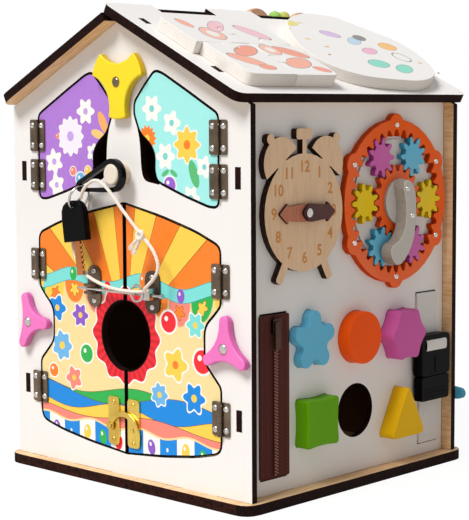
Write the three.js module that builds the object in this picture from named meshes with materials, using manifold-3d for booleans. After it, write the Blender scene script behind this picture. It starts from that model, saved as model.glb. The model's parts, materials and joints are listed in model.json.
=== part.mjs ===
// A wooden activity house for small children: a plywood house whose walls and roof carry
// doors, turning buttons, latches, a key, a clock, a planetary gear toy, a shape sorter,
// a zip, a buckle, a block puzzle and a picture board.
// Millimetres, +Z up, the front gable faces -Y, the origin is the centre of the base's underside.
import * as THREE from "three";
import { mergeVertices } from "three/addons/utils/BufferGeometryUtils.js";
import Module from "manifold-3d";

const wasm = await Module();
wasm.setup();

const { degToRad } = THREE.MathUtils;

// Driving sizes of the house
const houseWidth = 300;
const houseDepth = 280;
const panelThickness = 6;
const sideWallInset = 11;
const baseThickness = 9;
const baseSideOverhang = 4.5;
const baseEndOverhang = 10;
const baseCornerReach = 15;
const lowerDoorFoot = 29;
const lowerDoorHeight = 219.5;
const doorSpacing = 0.5;
const eaveRise = 92.5;
const roofThickness = 8;
const roofPitch = degToRad(26.42);
const eaveOverhang = 1;
const roofEndOverhang = 15;
const roofCornerReach = 10;

// Clearances
const jointGap = 0.3;
const runningGap = 0.4;
const seatGap = 0.3;
const doorGap = 1;

// How far cuts run past a face, and how deep joined solids sink into each other
const cutOverrun = 2;
const fuseDepth = 0.2;

// Counts of straight steps in curves
const smallRoundSteps = 12;
const roundSteps = 20;
const bigRoundSteps = 40;
const cornerSteps = 4;

const weldTolerance = 1e-4;
const fullTurn = 2 * Math.PI;
const quarterTurn = fullTurn / 4;

// Places worked out from the driving sizes
const halfWidth = houseWidth / 2;
const frontFace = -houseDepth / 2;
const endInner = houseDepth / 2 - panelThickness;
const sideFace = halfWidth - sideWallInset;
const sideInner = sideFace - panelThickness;
const eaveX = halfWidth + eaveOverhang;
const upperDoorFoot = lowerDoorFoot + lowerDoorHeight + doorSpacing;
const eaveHeight = upperDoorFoot + eaveRise;
const wallFoot = baseThickness + jointGap;

const at = (x, y) => new THREE.Vector2(x, y);

const polar = (angle, distance) => at(distance * Math.cos(angle), distance * Math.sin(angle));

// A closed geometry as a solid that can be joined and cut
function solidOf(geometry) {
  const bare = geometry.index ? geometry.toNonIndexed() : geometry.clone();
  bare.deleteAttribute("normal");
  bare.deleteAttribute("uv");
  const merged = mergeVertices(bare, weldTolerance);
  const faces = [];
  for (let i = 0; i < merged.index.count; i += 3) {
    const [a, b, c] = merged.index.array.slice(i, i + 3);
    if (a !== b && b !== c && c !== a) faces.push(a, b, c);
  }
  const vertProperties = merged.attributes.position.array;
  const triVerts = new Uint32Array(faces);
  return new wasm.Manifold(new wasm.Mesh({ numProp: 3, vertProperties, triVerts }));
}

const joined = (...solids) => solids.flat().reduce((whole, next) => whole.add(next));

const cut = (solid, ...tools) => tools.flat().reduce((rest, tool) => rest.subtract(tool), solid);

const counterClockwise = (points) =>
  THREE.ShapeUtils.area(points) < 0 ? [...points].reverse() : points;

function withoutRepeats(points) {
  return points.filter((point, i) => point.distanceTo(points.at(i - 1)) > weldTolerance);
}

// A closed outline from corners [x, y, reach]: a corner with a reach is eased by a curve
// that starts that far before it and ends that far after it
function easedOutline(corners, steps = cornerSteps) {
  const middleShare = 0.5;
  const points = corners.flatMap(([x, y, reach], i) => {
    const here = at(x, y);
    if (!reach) return [here];
    const before = at(...corners.at(i - 1));
    const after = at(...corners[(i + 1) % corners.length]);
    const start = here.clone().lerp(before, Math.min(middleShare, reach / here.distanceTo(before)));
    const end = here.clone().lerp(after, Math.min(middleShare, reach / here.distanceTo(after)));
    return new THREE.QuadraticBezierCurve(start, here, end).getPoints(steps);
  });
  return counterClockwise(withoutRepeats(points));
}

// Corners given as shares of a box turned into lengths
function cornersFrom(shares, left, bottom, width, height) {
  return shares.map(([x, y, reach = 0]) => [left + x * width, bottom + y * height, reach * width]);
}

// The outline moved outwards by a distance
function grownOutline(points, distance) {
  const sharpestShare = 0.5;
  return points.map((here, i) => {
    const edgeIn = here.clone().sub(points.at(i - 1)).normalize();
    const edgeOut = points[(i + 1) % points.length].clone().sub(here).normalize();
    const outwards = at(edgeIn.y + edgeOut.y, -edgeIn.x - edgeOut.x).normalize();
    const lean = Math.max(sharpestShare, outwards.dot(at(edgeIn.y, -edgeIn.x)));
    return here.clone().addScaledVector(outwards, distance / lean);
  });
}

const mirrored = (points) => counterClockwise(points.map(({ x, y }) => at(-x, y)));

const moved = (points, x, y) => points.map((point) => at(point.x + x, point.y + y));

const turnedBy = (points, angle) => points.map((point) => point.clone().rotateAround(at(0, 0), angle));

const boxOutline = (x1, y1, x2, y2) => counterClockwise([at(x1, y1), at(x2, y1), at(x2, y2), at(x1, y2)]);

const roundedBox = (left, bottom, right, top, reach) =>
  easedOutline([
    [left, bottom, reach],
    [right, bottom, reach],
    [right, top, reach],
    [left, top, reach],
  ]);

const circleOutline = (x, y, radius, steps = roundSteps) =>
  Array.from({ length: steps }, (_, i) => polar((i / steps) * fullTurn, radius).add(at(x, y)));

// Points of an arc about (x, y), from one angle to another
const arcPoints = (x, y, radius, from, to, steps) =>
  Array.from({ length: steps + 1 }, (_, i) =>
    polar(from + ((to - from) * i) / steps, radius).add(at(x, y)),
  );

// Arms with round ends about the origin, each [angle in degrees, length], with hollows between
function armsOutline(arms, halfBreadth) {
  const tipSteps = 6;
  const hollowSteps = 5;
  const angles = arms.map(([degrees]) => degToRad(degrees));
  const points = arms.flatMap(([, length], i) => {
    const angle = angles[i];
    const next = i + 1 < arms.length ? angles[i + 1] : angles[0] + fullTurn;
    const centre = polar(angle, length - halfBreadth);
    const [from, to] = [angle - quarterTurn, angle + quarterTurn];
    const tip = arcPoints(centre.x, centre.y, halfBreadth, from, to, tipSteps);
    const nextCentre = polar(next, arms[(i + 1) % arms.length][1] - halfBreadth);
    const nextStart = polar(next - quarterTurn, halfBreadth).add(nextCentre);
    const hollow = polar((angle + next) / 2, halfBreadth / Math.sin((next - angle) / 2));
    const side = new THREE.QuadraticBezierCurve(tip.at(-1), hollow, nextStart);
    return [...tip, ...side.getPoints(hollowSteps)];
  });
  return withoutRepeats(points);
}

// A plate drawn in its side's own plane, between two distances from the wall's outer face
function plate(points, from, to) {
  const shape = new THREE.Shape(counterClockwise(points));
  const slab = new THREE.ExtrudeGeometry(shape, { depth: to - from, bevelEnabled: false });
  return solidOf(slab.translate(0, 0, from));
}

// A cutter that runs right through a wall
const through = (outline) => plate(outline, -panelThickness - cutOverrun, cutOverrun);

const shankHole = (x, y, radius) => through(circleOutline(x, y, radius + runningGap, smallRoundSteps));

const lathed = (profile, steps) => new THREE.LatheGeometry(profile.map(([r, h]) => at(r, h)), steps);

// A turned solid from a profile [radius, height], its height growing away from the wall
const turned = (profile, x, y, steps = smallRoundSteps) =>
  solidOf(lathed(profile, steps).rotateX(quarterTurn).translate(x, y, 0));

// The same, standing along the side's own y
const turnedUp = (profile, x, out) => solidOf(lathed(profile, smallRoundSteps).translate(x, 0, out));

const cylinderProfile = (radius, from, to) => [
  [0, from],
  [radius, from],
  [radius, to],
  [0, to],
];

// A rod along the side's own x
const crossRod = (radius, from, to, y, out) =>
  solidOf(
    lathed(cylinderProfile(radius, from, to), smallRoundSteps)
      .rotateZ(-quarterTurn)
      .translate(0, y, out),
  );

function domeProfile(radius, from, to) {
  const crownShare = 0.6;
  const shoulderShare = 0.5;
  return [
    [0, from],
    [radius, from],
    [radius, from + (to - from) * shoulderShare],
    [radius * crownShare, to],
    [0, to],
  ];
}

const house = new THREE.Group();

// A flat frame on one side of the house: x runs along it, y up it and z out of it
function sideFrame(along, up, x, y, z) {
  const out = new THREE.Vector3().crossVectors(along, up);
  const frame = new THREE.Group();
  frame.applyMatrix4(new THREE.Matrix4().makeBasis(along, up, out).setPosition(x, y, z));
  house.add(frame);
  return frame;
}

const upright = new THREE.Vector3(0, 0, 1);
const rightUpSlope = new THREE.Vector3(-Math.cos(roofPitch), 0, Math.sin(roofPitch));
const leftUpSlope = new THREE.Vector3(Math.cos(roofPitch), 0, Math.sin(roofPitch));
const frontSide = sideFrame(new THREE.Vector3(1, 0, 0), upright, 0, frontFace, 0);
const backSide = sideFrame(new THREE.Vector3(-1, 0, 0), upright, 0, -frontFace, 0);
const rightSide = sideFrame(new THREE.Vector3(0, 1, 0), upright, sideFace, 0, 0);
const leftSide = sideFrame(new THREE.Vector3(0, -1, 0), upright, -sideFace, 0, 0);
const rightSlope = sideFrame(new THREE.Vector3(0, 1, 0), rightUpSlope, eaveX, 0, eaveHeight);
const leftSlope = sideFrame(new THREE.Vector3(0, -1, 0), leftUpSlope, -eaveX, 0, eaveHeight);

const finishes = {
  whitePly: { color: "#f4efeb", roughness: 0.45 },
  barePly: { color: "#d9bfa3", roughness: 0.6 },
  yellow: { color: "#fde62d", roughness: 0.35 },
  pink: { color: "#f97fc9", roughness: 0.35 },
  purple: { color: "#b37dd9", roughness: 0.4 },
  turquoise: { color: "#a5efea", roughness: 0.4 },
  awning: { color: "#fb8429", roughness: 0.4 },
  bronze: { color: "#5f5046", roughness: 0.3, metalness: 1 },
  steel: { color: "#c9c6c2", roughness: 0.25, metalness: 1 },
  brass: { color: "#f0d878", roughness: 0.2, metalness: 1 },
  black: { color: "#111113", roughness: 0.4 },
  cream: { color: "#f5ddd0", roughness: 0.9 },
  darkHand: { color: "#5b3836", roughness: 0.5 },
  redHand: { color: "#b5725a", roughness: 0.5 },
  orange: { color: "#e8500f", roughness: 0.4 },
  magenta: { color: "#b9519a", roughness: 0.4 },
  blue: { color: "#55a7c4", roughness: 0.4 },
  gold: { color: "#d4ae0c", roughness: 0.4 },
  green: { color: "#51920f", roughness: 0.4 },
  grey: { color: "#bdb5ad", roughness: 0.5 },
  brownCloth: { color: "#5b2a22", roughness: 0.9 },
  webbing: { color: "#d0ccc8", roughness: 0.9 },
};
const materials = {};
Object.entries(finishes).forEach(([name, look]) => {
  materials[name] = new THREE.MeshStandardMaterial(look);
});

// Puts a finished solid on a side of the house as its own named mesh
function place(side, name, solid, finish) {
  const { vertProperties, triVerts } = solid.getMesh();
  const geometry = new THREE.BufferGeometry();
  geometry.setAttribute("position", new THREE.BufferAttribute(new Float32Array(vertProperties), 3));
  geometry.setIndex(new THREE.BufferAttribute(new Uint32Array(triVerts), 1));
  geometry.computeVertexNormals();
  const piece = new THREE.Mesh(geometry, materials[finish]);
  piece.name = name;
  side.add(piece);
}

// The base, with slots for the tongues of the walls
const tongueFloor = 1;
const endTongueBreadth = 40;
const endTongueSpacing = 90;
const endTongueSpans = [-1, 0, 1].map((k) => [
  k * endTongueSpacing - endTongueBreadth / 2,
  k * endTongueSpacing + endTongueBreadth / 2,
]);
const sideTongueSpanShares = [
  [-0.42, -0.33],
  [-0.275, -0.115],
  [0.195, 0.295],
];
const sideTongueSpans = sideTongueSpanShares.map(([a, b]) => [a * houseDepth, b * houseDepth]);

function basePlate() {
  const reachX = halfWidth + baseSideOverhang;
  const reachY = houseDepth / 2 + baseEndOverhang;
  const slab = plate(roundedBox(-reachX, -reachY, reachX, reachY, baseCornerReach), 0, baseThickness);
  const slot = (x1, y1, x2, y2) => {
    const outline = boxOutline(x1 - jointGap, y1 - jointGap, x2 + jointGap, y2 + jointGap);
    return plate(outline, -cutOverrun, baseThickness + cutOverrun);
  };
  const endSlots = endTongueSpans.flatMap(([a, b]) => [
    slot(a, frontFace, b, -endInner),
    slot(a, endInner, b, -frontFace),
  ]);
  const sideSlots = sideTongueSpans.flatMap(([a, b]) => [
    slot(sideInner, a, sideFace, b),
    slot(-sideFace, a, -sideInner, b),
  ]);
  place(house, "base_plate", cut(slab, endSlots, sideSlots), "whitePly");
}

// The roof: a place on a slope is its distance up from the eave's top edge and its height
// over the top face. The right panel runs over the ridge and covers the left one's end,
// whose two tongues come up through its notches.
const ridgeTongueSpan = [30, 98];
const ridgeLip = 2.6;
const endTabBreadth = 11;
const lowEndTab = 39.6;
const highEndTab = 134.5;
const ridgeUp = eaveX / Math.cos(roofPitch);
const leftRoofLength = ridgeUp - (roofThickness + jointGap) / Math.sin(2 * roofPitch);
const rightRoofLength =
  2 * ridgeUp * Math.cos(roofPitch) ** 2 - leftRoofLength * Math.cos(2 * roofPitch) + ridgeLip;
const ridgeNotch = ridgeUp - roofThickness * Math.sin(2 * roofPitch) - jointGap;

function roofPoint(up, over, side) {
  const x = eaveX - up * Math.cos(roofPitch) + over * Math.sin(roofPitch);
  return at(side * x, eaveHeight + up * Math.sin(roofPitch) + over * Math.cos(roofPitch));
}

function roofUnderside(x) {
  return eaveHeight + (eaveX - Math.abs(x)) * Math.tan(roofPitch) - roofThickness / Math.cos(roofPitch);
}

const roofCutter = (outline) => plate(outline, -roofThickness - cutOverrun, cutOverrun);

// Slots in a roof panel for the tabs of both end walls
function endTabSlots() {
  const ends = [
    [frontFace - jointGap, -endInner + jointGap],
    [endInner - jointGap, -frontFace + jointGap],
  ];
  return ends.flatMap(([a, b]) =>
    [lowEndTab, highEndTab].map((up) =>
      roofCutter(boxOutline(a, up - jointGap, b, up + endTabBreadth + jointGap)),
    ),
  );
}

function roofPanels() {
  const reach = houseDepth / 2 + roofEndOverhang;
  const [near, far] = ridgeTongueSpan;
  const right = plate(roundedBox(-reach, 0, reach, rightRoofLength, roofCornerReach), -roofThickness, 0);
  const notches = [1, -1].map((end) =>
    roofCutter(boxOutline(end * near, ridgeNotch, end * far, rightRoofLength + cutOverrun)),
  );
  place(rightSlope, "right_roof", cut(right, notches, endTabSlots()), "whitePly");

  const leftOutline = easedOutline([
    [-reach, 0, roofCornerReach],
    [reach, 0, roofCornerReach],
    [reach, leftRoofLength, 0],
    [-reach, leftRoofLength, 0],
  ]);
  const left = plate(leftOutline, -roofThickness, 0);
  const tongues = [1, -1].map((end) => {
    const [a, b] = [end * (near + jointGap), end * (far - jointGap)];
    return plate(boxOutline(a, leftRoofLength - fuseDepth, b, ridgeUp), -roofThickness, 0);
  });
  place(leftSlope, "left_roof", cut(joined(left, tongues), endTabSlots()), "whitePly");
}

// Doors, drawn for the right side; the left ones are their mirror images. Corner shares
// are of the door's breadth from its free edge and of its height.
const doorSlit = 3;
const lowerDoor = { hingeX: 116, axisX: 116.5, foot: lowerDoorFoot, height: lowerDoorHeight };
const lowerDoorBreadth = lowerDoor.hingeX - doorSlit / 2;
const lowerDoorShares = [
  [0, 0],
  [0.397, 0.018, 0.08],
  [0.738, 0.043, 0.08],
  [1, 0.075, 0.08],
  [1, 0.326, 0.035],
  [0.904, 0.376, 0.044],
  [0.834, 0.415, 0.07],
  [0.834, 0.551, 0.07],
  [0.939, 0.601, 0.044],
  [1, 0.636, 0.035],
  [1, 0.859, 0.061],
  [0.744, 0.911, 0.1],
  [0.377, 0.961, 0.1],
  [0, 1],
];
const upperDoor = { freeX: 13.5, hingeX: 114.5, axisX: 115, foot: upperDoorFoot, height: 113.5 };
const upperDoorBreadth = upperDoor.hingeX - upperDoor.freeX;
const upperDoorShares = [
  [0.322, 0.159, 0.05],
  [0.599, 0.075, 0.08],
  [0.886, 0.003, 0.04],
  [1, 0, 0.069],
  [1, 0.674, 0.05],
  [0.639, 0.846, 0.08],
  [0.361, 0.974, 0.04],
  [0.262, 1, 0.05],
  [0.134, 0.89, 0.04],
  [0.01, 0.767, 0.04],
  [0.003, 0.678, 0.04],
  [0.074, 0.529, 0.06],
  [0.203, 0.449, 0.06],
  [0.255, 0.37, 0.04],
  [0.249, 0.256, 0.04],
  [0.272, 0.185, 0.05],
];
const fingerGapShares = [
  [0.005, 0.7],
  [0.072, 0.476, 0.06],
  [0.089, 0.247, 0.06],
  [0.124, 0.172, 0.06],
  [0.302, 0.15],
  [0.45, 0.25],
  [0.45, 0.5],
  [0.1, 0.75],
];
const peekHole = { height: 133, radius: 30.5 };

const lowerDoorOutline = easedOutline(
  cornersFrom(lowerDoorShares, doorSlit / 2, lowerDoor.foot, lowerDoorBreadth, lowerDoor.height),
);
const upperOutline = (shares) =>
  easedOutline(cornersFrom(shares, upperDoor.freeX, upperDoor.foot, upperDoorBreadth, upperDoor.height));
const upperDoorOutline = upperOutline(upperDoorShares);
const fingerGapOutline = upperOutline(fingerGapShares);

// Butt hinges: two leaves and five knuckles about an upright pin, which is fixed in the
// leaf on the wall
const hinge = {
  tall: 28.5,
  leafBreadth: 10,
  leafThickness: 1.2,
  leafCornerReach: 2,
  barrelRadius: 2.2,
  boreRadius: 1.2,
  pinRadius: 0.8,
  knuckles: 5,
};
const barrelOut = seatGap + hinge.barrelRadius;
const lowerHingeHeights = { high: 189, low: 75 };
const upperHingeRises = { high: 57.5, low: 21.5 };
const upperHingeHeights = {
  high: upperDoorFoot + upperHingeRises.high,
  low: upperDoorFoot + upperHingeRises.low,
};

// Every second knuckle of a hinge, from the given one up, as solids of the given radius
function knuckles(axisX, middle, first, radius, shorten) {
  const pitch = hinge.tall / hinge.knuckles;
  const bottom = middle - hinge.tall / 2;
  const solids = [];
  for (let k = first; k < hinge.knuckles; k += 2) {
    const [from, to] = [bottom + k * pitch + shorten, bottom + (k + 1) * pitch - shorten];
    solids.push(turnedUp(cylinderProfile(radius, from, to), axisX, barrelOut));
  }
  return solids;
}

function hingeLeaf(axisX, middle, reach, from) {
  const low = middle - hinge.tall / 2;
  const high = middle + hinge.tall / 2;
  const outline = roundedBox(axisX, low, axisX + reach, high, hinge.leafCornerReach);
  return plate(outline, from, seatGap + hinge.leafThickness);
}

// side is 1 on the right and -1 on the left; the wall's leaf points away from the middle
function wallLeaf(axisX, middle, side) {
  const leaf = hingeLeaf(side * axisX, middle, side * hinge.leafBreadth, seatGap);
  const room = knuckles(side * axisX, middle, 1, hinge.barrelRadius + jointGap, -jointGap);
  const own = knuckles(side * axisX, middle, 0, hinge.barrelRadius, 0);
  const pin = cylinderProfile(hinge.pinRadius, middle - hinge.tall / 2, middle + hinge.tall / 2);
  return joined(cut(leaf, room), own, turnedUp(pin, side * axisX, barrelOut));
}

function doorLeaf(axisX, middle, side) {
  const leaf = hingeLeaf(side * axisX, middle, -side * hinge.leafBreadth, -fuseDepth);
  const room = knuckles(side * axisX, middle, 0, hinge.barrelRadius + jointGap, -jointGap);
  const own = knuckles(side * axisX, middle, 1, hinge.barrelRadius, jointGap / 2);
  const boreFrom = middle - hinge.tall / 2 - cutOverrun;
  const bore = cylinderProfile(hinge.boreRadius, boreFrom, middle + hinge.tall / 2 + cutOverrun);
  return cut(joined(cut(leaf, room), own), turnedUp(bore, side * axisX, barrelOut));
}

function doorsAndHinges() {
  const peek = through(circleOutline(0, peekHole.height, peekHole.radius, bigRoundSteps));
  const sides = [
    ["left", -1, "purple"],
    ["right", 1, "turquoise"],
  ];
  sides.forEach(([word, side, upperFinish]) => {
    const facing = (points) => (side < 0 ? mirrored(points) : points);
    const withLeaves = (door, axisX, heights) =>
      joined(door, doorLeaf(axisX, heights.high, side), doorLeaf(axisX, heights.low, side));
    const lower = cut(plate(facing(lowerDoorOutline), -panelThickness, 0), peek);
    const upper = plate(facing(upperDoorOutline), -panelThickness, 0);
    const lowerWhole = withLeaves(lower, lowerDoor.axisX, lowerHingeHeights);
    const upperWhole = withLeaves(upper, upperDoor.axisX, upperHingeHeights);
    place(frontSide, `lower_${word}_door`, lowerWhole, "awning");
    place(frontSide, `upper_${word}_door`, upperWhole, upperFinish);
    Object.entries(lowerHingeHeights).forEach(([level, middle]) => {
      place(frontSide, `lower_${word}_hinge_${level}`, wallLeaf(lowerDoor.axisX, middle, side), "bronze");
    });
    Object.entries(upperHingeHeights).forEach(([level, middle]) => {
      place(frontSide, `upper_${word}_hinge_${level}`, wallLeaf(upperDoor.axisX, middle, side), "bronze");
    });
  });
}

// Turning buttons: a plate on a bolt through the wall, with a collar in front and a nut behind
const buttonStandoff = 1.7;
const buttonThickness = 6;
const buttonShankRadius = 3;
const buttonCollarRadius = 5;
const boltHeadRadius = 4.5;
const boltHeadThickness = 1.5;
const nutRadius = 6;
const nutThickness = 4;
const nutSteps = 6;
const nutFront = -panelThickness - seatGap;
const starRise = 104;
const starButton = {
  x: 0,
  height: upperDoorFoot + starRise,
  radius: 32,
  angles: [30, 150, 270],
  armSpread: degToRad(20),
  biteDistance: 44,
  cornerReach: 1.5,
};
const knob = { x: 125.5, height: 135, halfBreadth: 5, armLength: 27 };
const leftKnobAngles = [103, 245, 358];
const rightKnobAngles = [90, 210, 330];

const knobOutline = (angles) =>
  armsOutline(
    angles.map((angle) => [angle, knob.armLength]),
    knob.halfBreadth,
  );

// A disc about the origin with a round bite out of its rim between every two arms
function bittenDisc({ radius, angles, armSpread, biteDistance, cornerReach }) {
  const rimSteps = 6;
  const biteSteps = 10;
  const halfGap = fullTurn / angles.length / 2 - armSpread;
  const across = radius * Math.sin(halfGap);
  const inwards = biteDistance - radius * Math.cos(halfGap);
  const biteRadius = Math.hypot(across, inwards);
  const halfBite = Math.atan2(across, inwards);
  const corners = angles.flatMap((degrees) => {
    const angle = degToRad(degrees);
    const rim = arcPoints(0, 0, radius, angle - armSpread, angle + armSpread, rimSteps);
    const biteAngle = angle + armSpread + halfGap;
    const middle = polar(biteAngle, biteDistance);
    const back = biteAngle + fullTurn / 2;
    const bite = arcPoints(middle.x, middle.y, biteRadius, back + halfBite, back - halfBite, biteSteps);
    return [
      ...rim.map(({ x, y }, i) => [x, y, i % rimSteps === 0 ? cornerReach : 0]),
      ...bite.slice(1, -1).map(({ x, y }) => [x, y, 0]),
    ];
  });
  return easedOutline(corners);
}

function turnButton(x, height, outline) {
  const front = buttonStandoff + buttonThickness;
  return joined(
    plate(moved(outline, x, height), buttonStandoff, front),
    turned(cylinderProfile(buttonCollarRadius, seatGap, buttonStandoff + fuseDepth), x, height),
    turned(domeProfile(boltHeadRadius, front - fuseDepth, front + boltHeadThickness), x, height),
    turned(cylinderProfile(buttonShankRadius, nutFront - fuseDepth, buttonStandoff), x, height),
    turned(cylinderProfile(nutRadius, nutFront - nutThickness, nutFront), x, height, nutSteps),
  );
}

function turnButtons() {
  const star = turnButton(starButton.x, starButton.height, bittenDisc(starButton));
  const left = turnButton(-knob.x, knob.height, knobOutline(leftKnobAngles));
  const right = turnButton(knob.x, knob.height, knobOutline(rightKnobAngles));
  place(frontSide, "star_turn_button", star, "yellow");
  place(frontSide, "left_turn_knob", left, "pink");
  place(frontSide, "right_turn_knob", right, "pink");
}

// The end walls: gables with tabs through the roof, tongues in the base and slots for the
// tabs of the side walls
const sideTabHeights = [
  [265, 282.5],
  [67, 84.5],
];

function gable() {
  const shoulder = roofUnderside(halfWidth) - jointGap;
  const outline = [
    at(-halfWidth, wallFoot),
    at(halfWidth, wallFoot),
    at(halfWidth, shoulder),
    at(0, roofUnderside(0) - jointGap),
    at(-halfWidth, shoulder),
  ];
  const tabRoot = -roofThickness - cutOverrun;
  const roofTabs = [1, -1].flatMap((side) =>
    [lowEndTab, highEndTab].map((up) => {
      const far = up + endTabBreadth;
      const corners = [
        [up, tabRoot],
        [far, tabRoot],
        [far, 0],
        [up, 0],
      ];
      return plate(corners.map(([along, over]) => roofPoint(along, over, side)), -panelThickness, 0);
    }),
  );
  const tongues = endTongueSpans.map(([a, b]) =>
    plate(boxOutline(a, tongueFloor, b, wallFoot + cutOverrun), -panelThickness, 0),
  );
  const sideSlots = [1, -1].flatMap((side) =>
    sideTabHeights.map(([low, high]) => {
      const [inner, outer] = [side * (sideInner - jointGap), side * (sideFace + jointGap)];
      return through(boxOutline(inner, low - jointGap, outer, high + jointGap));
    }),
  );
  return cut(joined(plate(outline, -panelThickness, 0), roofTabs, tongues), sideSlots);
}

function frontWall() {
  const openings = [lowerDoorOutline, upperDoorOutline].flatMap((outline) => {
    const grown = grownOutline(outline, doorGap);
    return [through(grown), through(mirrored(grown))];
  });
  const fingerGaps = [through(fingerGapOutline), through(mirrored(fingerGapOutline))];
  const slitLow = lowerDoor.foot - doorGap;
  const slitHigh = lowerDoor.foot + lowerDoor.height + doorGap;
  const slit = through(boxOutline(-doorSlit, slitLow, doorSlit, slitHigh));
  const shankHoles = [
    shankHole(starButton.x, starButton.height, buttonShankRadius),
    shankHole(-knob.x, knob.height, buttonShankRadius),
    shankHole(knob.x, knob.height, buttonShankRadius),
  ];
  place(frontSide, "front_wall", cut(gable(), openings, fingerGaps, slit, shankHoles), "whitePly");
}

// A button screwed to the back wall, which shows past the house's rear edge
const rearButton = { x: -130, height: 62, angles: [60, 180, 300] };

function backWall() {
  const { x, height, angles } = rearButton;
  const outline = moved(knobOutline(angles), x, height);
  const button = plate(outline, buttonStandoff, buttonStandoff + buttonThickness);
  const collar = cylinderProfile(buttonCollarRadius, -fuseDepth, buttonStandoff + fuseDepth);
  place(backSide, "back_wall", joined(gable(), button, turned(collar, x, height)), "whitePly");
}

// The shape sorter: each block's outline is drawn about its own middle, and proud is how
// far it stands out of the right wall
const blockDepth = 24;
const sorterCornerReach = 5;
const starBlock = {
  angles: [18, 90, 162, 234, 306],
  radius: 26,
  halfBreadth: 7.5,
  proud: 9,
  y: -57.8,
  height: 134,
};
const roundBlock = { radius: 23, proud: 12, y: 5, height: 130 };
const hexagonBlock = { sides: 6, radius: 26.5, hollow: 20, proud: 16, y: 63.5, height: 127 };
const squareBlock = { sides: 4, radius: 30, hollow: 19, proud: 14, y: -53.5, height: 64 };
const triangleBlock = { halfBreadth: 25, halfHeight: 24, proud: 16, y: 63, height: 58, cornerReach: 8 };

function hollowSided({ sides, radius, hollow }, turn) {
  const corners = [];
  for (let k = 0; k < sides; k += 1) {
    const corner = polar(turn + (k / sides) * fullTurn, radius);
    const middle = polar(turn + ((2 * k + 1) / (2 * sides)) * fullTurn, hollow);
    corners.push([corner.x, corner.y, sorterCornerReach], [middle.x, middle.y, radius]);
  }
  return easedOutline(corners);
}

const starBlockArms = starBlock.angles.map((angle) => [angle, starBlock.radius]);
const triangleCorners = [
  [-triangleBlock.halfBreadth, -triangleBlock.halfHeight, triangleBlock.cornerReach],
  [triangleBlock.halfBreadth, -triangleBlock.halfHeight, triangleBlock.cornerReach],
  [0, triangleBlock.halfHeight, triangleBlock.cornerReach],
];
const sorterBlocks = [
  ["star_block", starBlock, armsOutline(starBlockArms, starBlock.halfBreadth), "blue"],
  ["round_block", roundBlock, circleOutline(0, 0, roundBlock.radius, bigRoundSteps), "orange"],
  ["hexagon_block", hexagonBlock, hollowSided(hexagonBlock, 0), "magenta"],
  ["square_block", squareBlock, hollowSided(squareBlock, quarterTurn / 2), "green"],
  ["triangle_block", triangleBlock, easedOutline(triangleCorners), "gold"],
];
const openHole = { y: 5.5, height: 64.4, radius: 24 };

function sorter() {
  sorterBlocks.forEach(([name, { proud, y, height }, outline, finish]) => {
    place(rightSide, name, plate(moved(outline, y, height), proud - blockDepth, proud), finish);
  });
}

// The toy clock: a face with two bells, a hammer and feet, and two hands on one bolt
const clock = { y: -69.3, height: 243, radius: 49.4, shankRadius: 2.5 };
const bell = { radius: 22, lean: degToRad(34), distance: 50, stemBreadth: 12, ballRadius: 4.5 };
const ballDistance = bell.distance + bell.radius + bell.ballRadius / 2;
const hammer = { stemBreadth: 5, capBreadth: 20, capThickness: 9, top: 313, capReach: 2.5 };
const clockFoot = { breadth: 8, lean: degToRad(30), reach: 66, cornerReach: 3 };
const hand = {
  length: 34,
  shaftBreadth: 12,
  headBreadth: 18,
  headLength: 11,
  hubRadius: 8,
  hubReach: 4,
  thickness: 2.5,
  cornerReach: 2,
};
const toyBack = seatGap;
const toyFront = seatGap + panelThickness;
const facePlate = (outline) => plate(outline, toyBack, toyFront);

// A bar that runs outwards from the clock's middle between two distances, leaning from upright
function clockBar(lean, from, to, breadth, reach) {
  const bar = roundedBox(-breadth / 2, from, breadth / 2, to, reach);
  return facePlate(moved(turnedBy(bar, lean), clock.y, clock.height));
}

function clockFace() {
  const middle = at(clock.y, clock.height);
  const pieces = [facePlate(circleOutline(clock.y, clock.height, clock.radius, bigRoundSteps))];
  [-1, 1].forEach((side) => {
    const lean = -side * bell.lean;
    const root = polar(quarterTurn + lean, bell.distance).add(middle);
    const ball = polar(quarterTurn + lean, ballDistance).add(middle);
    pieces.push(facePlate(arcPoints(root.x, root.y, bell.radius, lean, lean + fullTurn / 2, roundSteps)));
    pieces.push(facePlate(circleOutline(ball.x, ball.y, bell.ballRadius, smallRoundSteps)));
    const stemFrom = clock.radius - bell.stemBreadth;
    pieces.push(clockBar(lean, stemFrom, bell.distance + bell.stemBreadth / 2, bell.stemBreadth, 0));
    const footLean = fullTurn / 2 + side * clockFoot.lean;
    const footFrom = clock.radius - clockFoot.breadth;
    pieces.push(clockBar(footLean, footFrom, clockFoot.reach, clockFoot.breadth, clockFoot.cornerReach));
  });
  const capTop = hammer.top - clock.height;
  const capBottom = capTop - hammer.capThickness;
  const stemFoot = clock.radius - hammer.capThickness;
  pieces.push(clockBar(0, stemFoot, capBottom + hammer.capThickness / 2, hammer.stemBreadth, 0));
  pieces.push(clockBar(0, capBottom, capTop, hammer.capBreadth, hammer.capReach));
  const bore = circleOutline(clock.y, clock.height, clock.shankRadius + runningGap, smallRoundSteps);
  const borer = plate(bore, toyBack - cutOverrun, toyFront + cutOverrun);
  place(rightSide, "clock_face", cut(joined(pieces), borer), "barePly");
}

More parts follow.
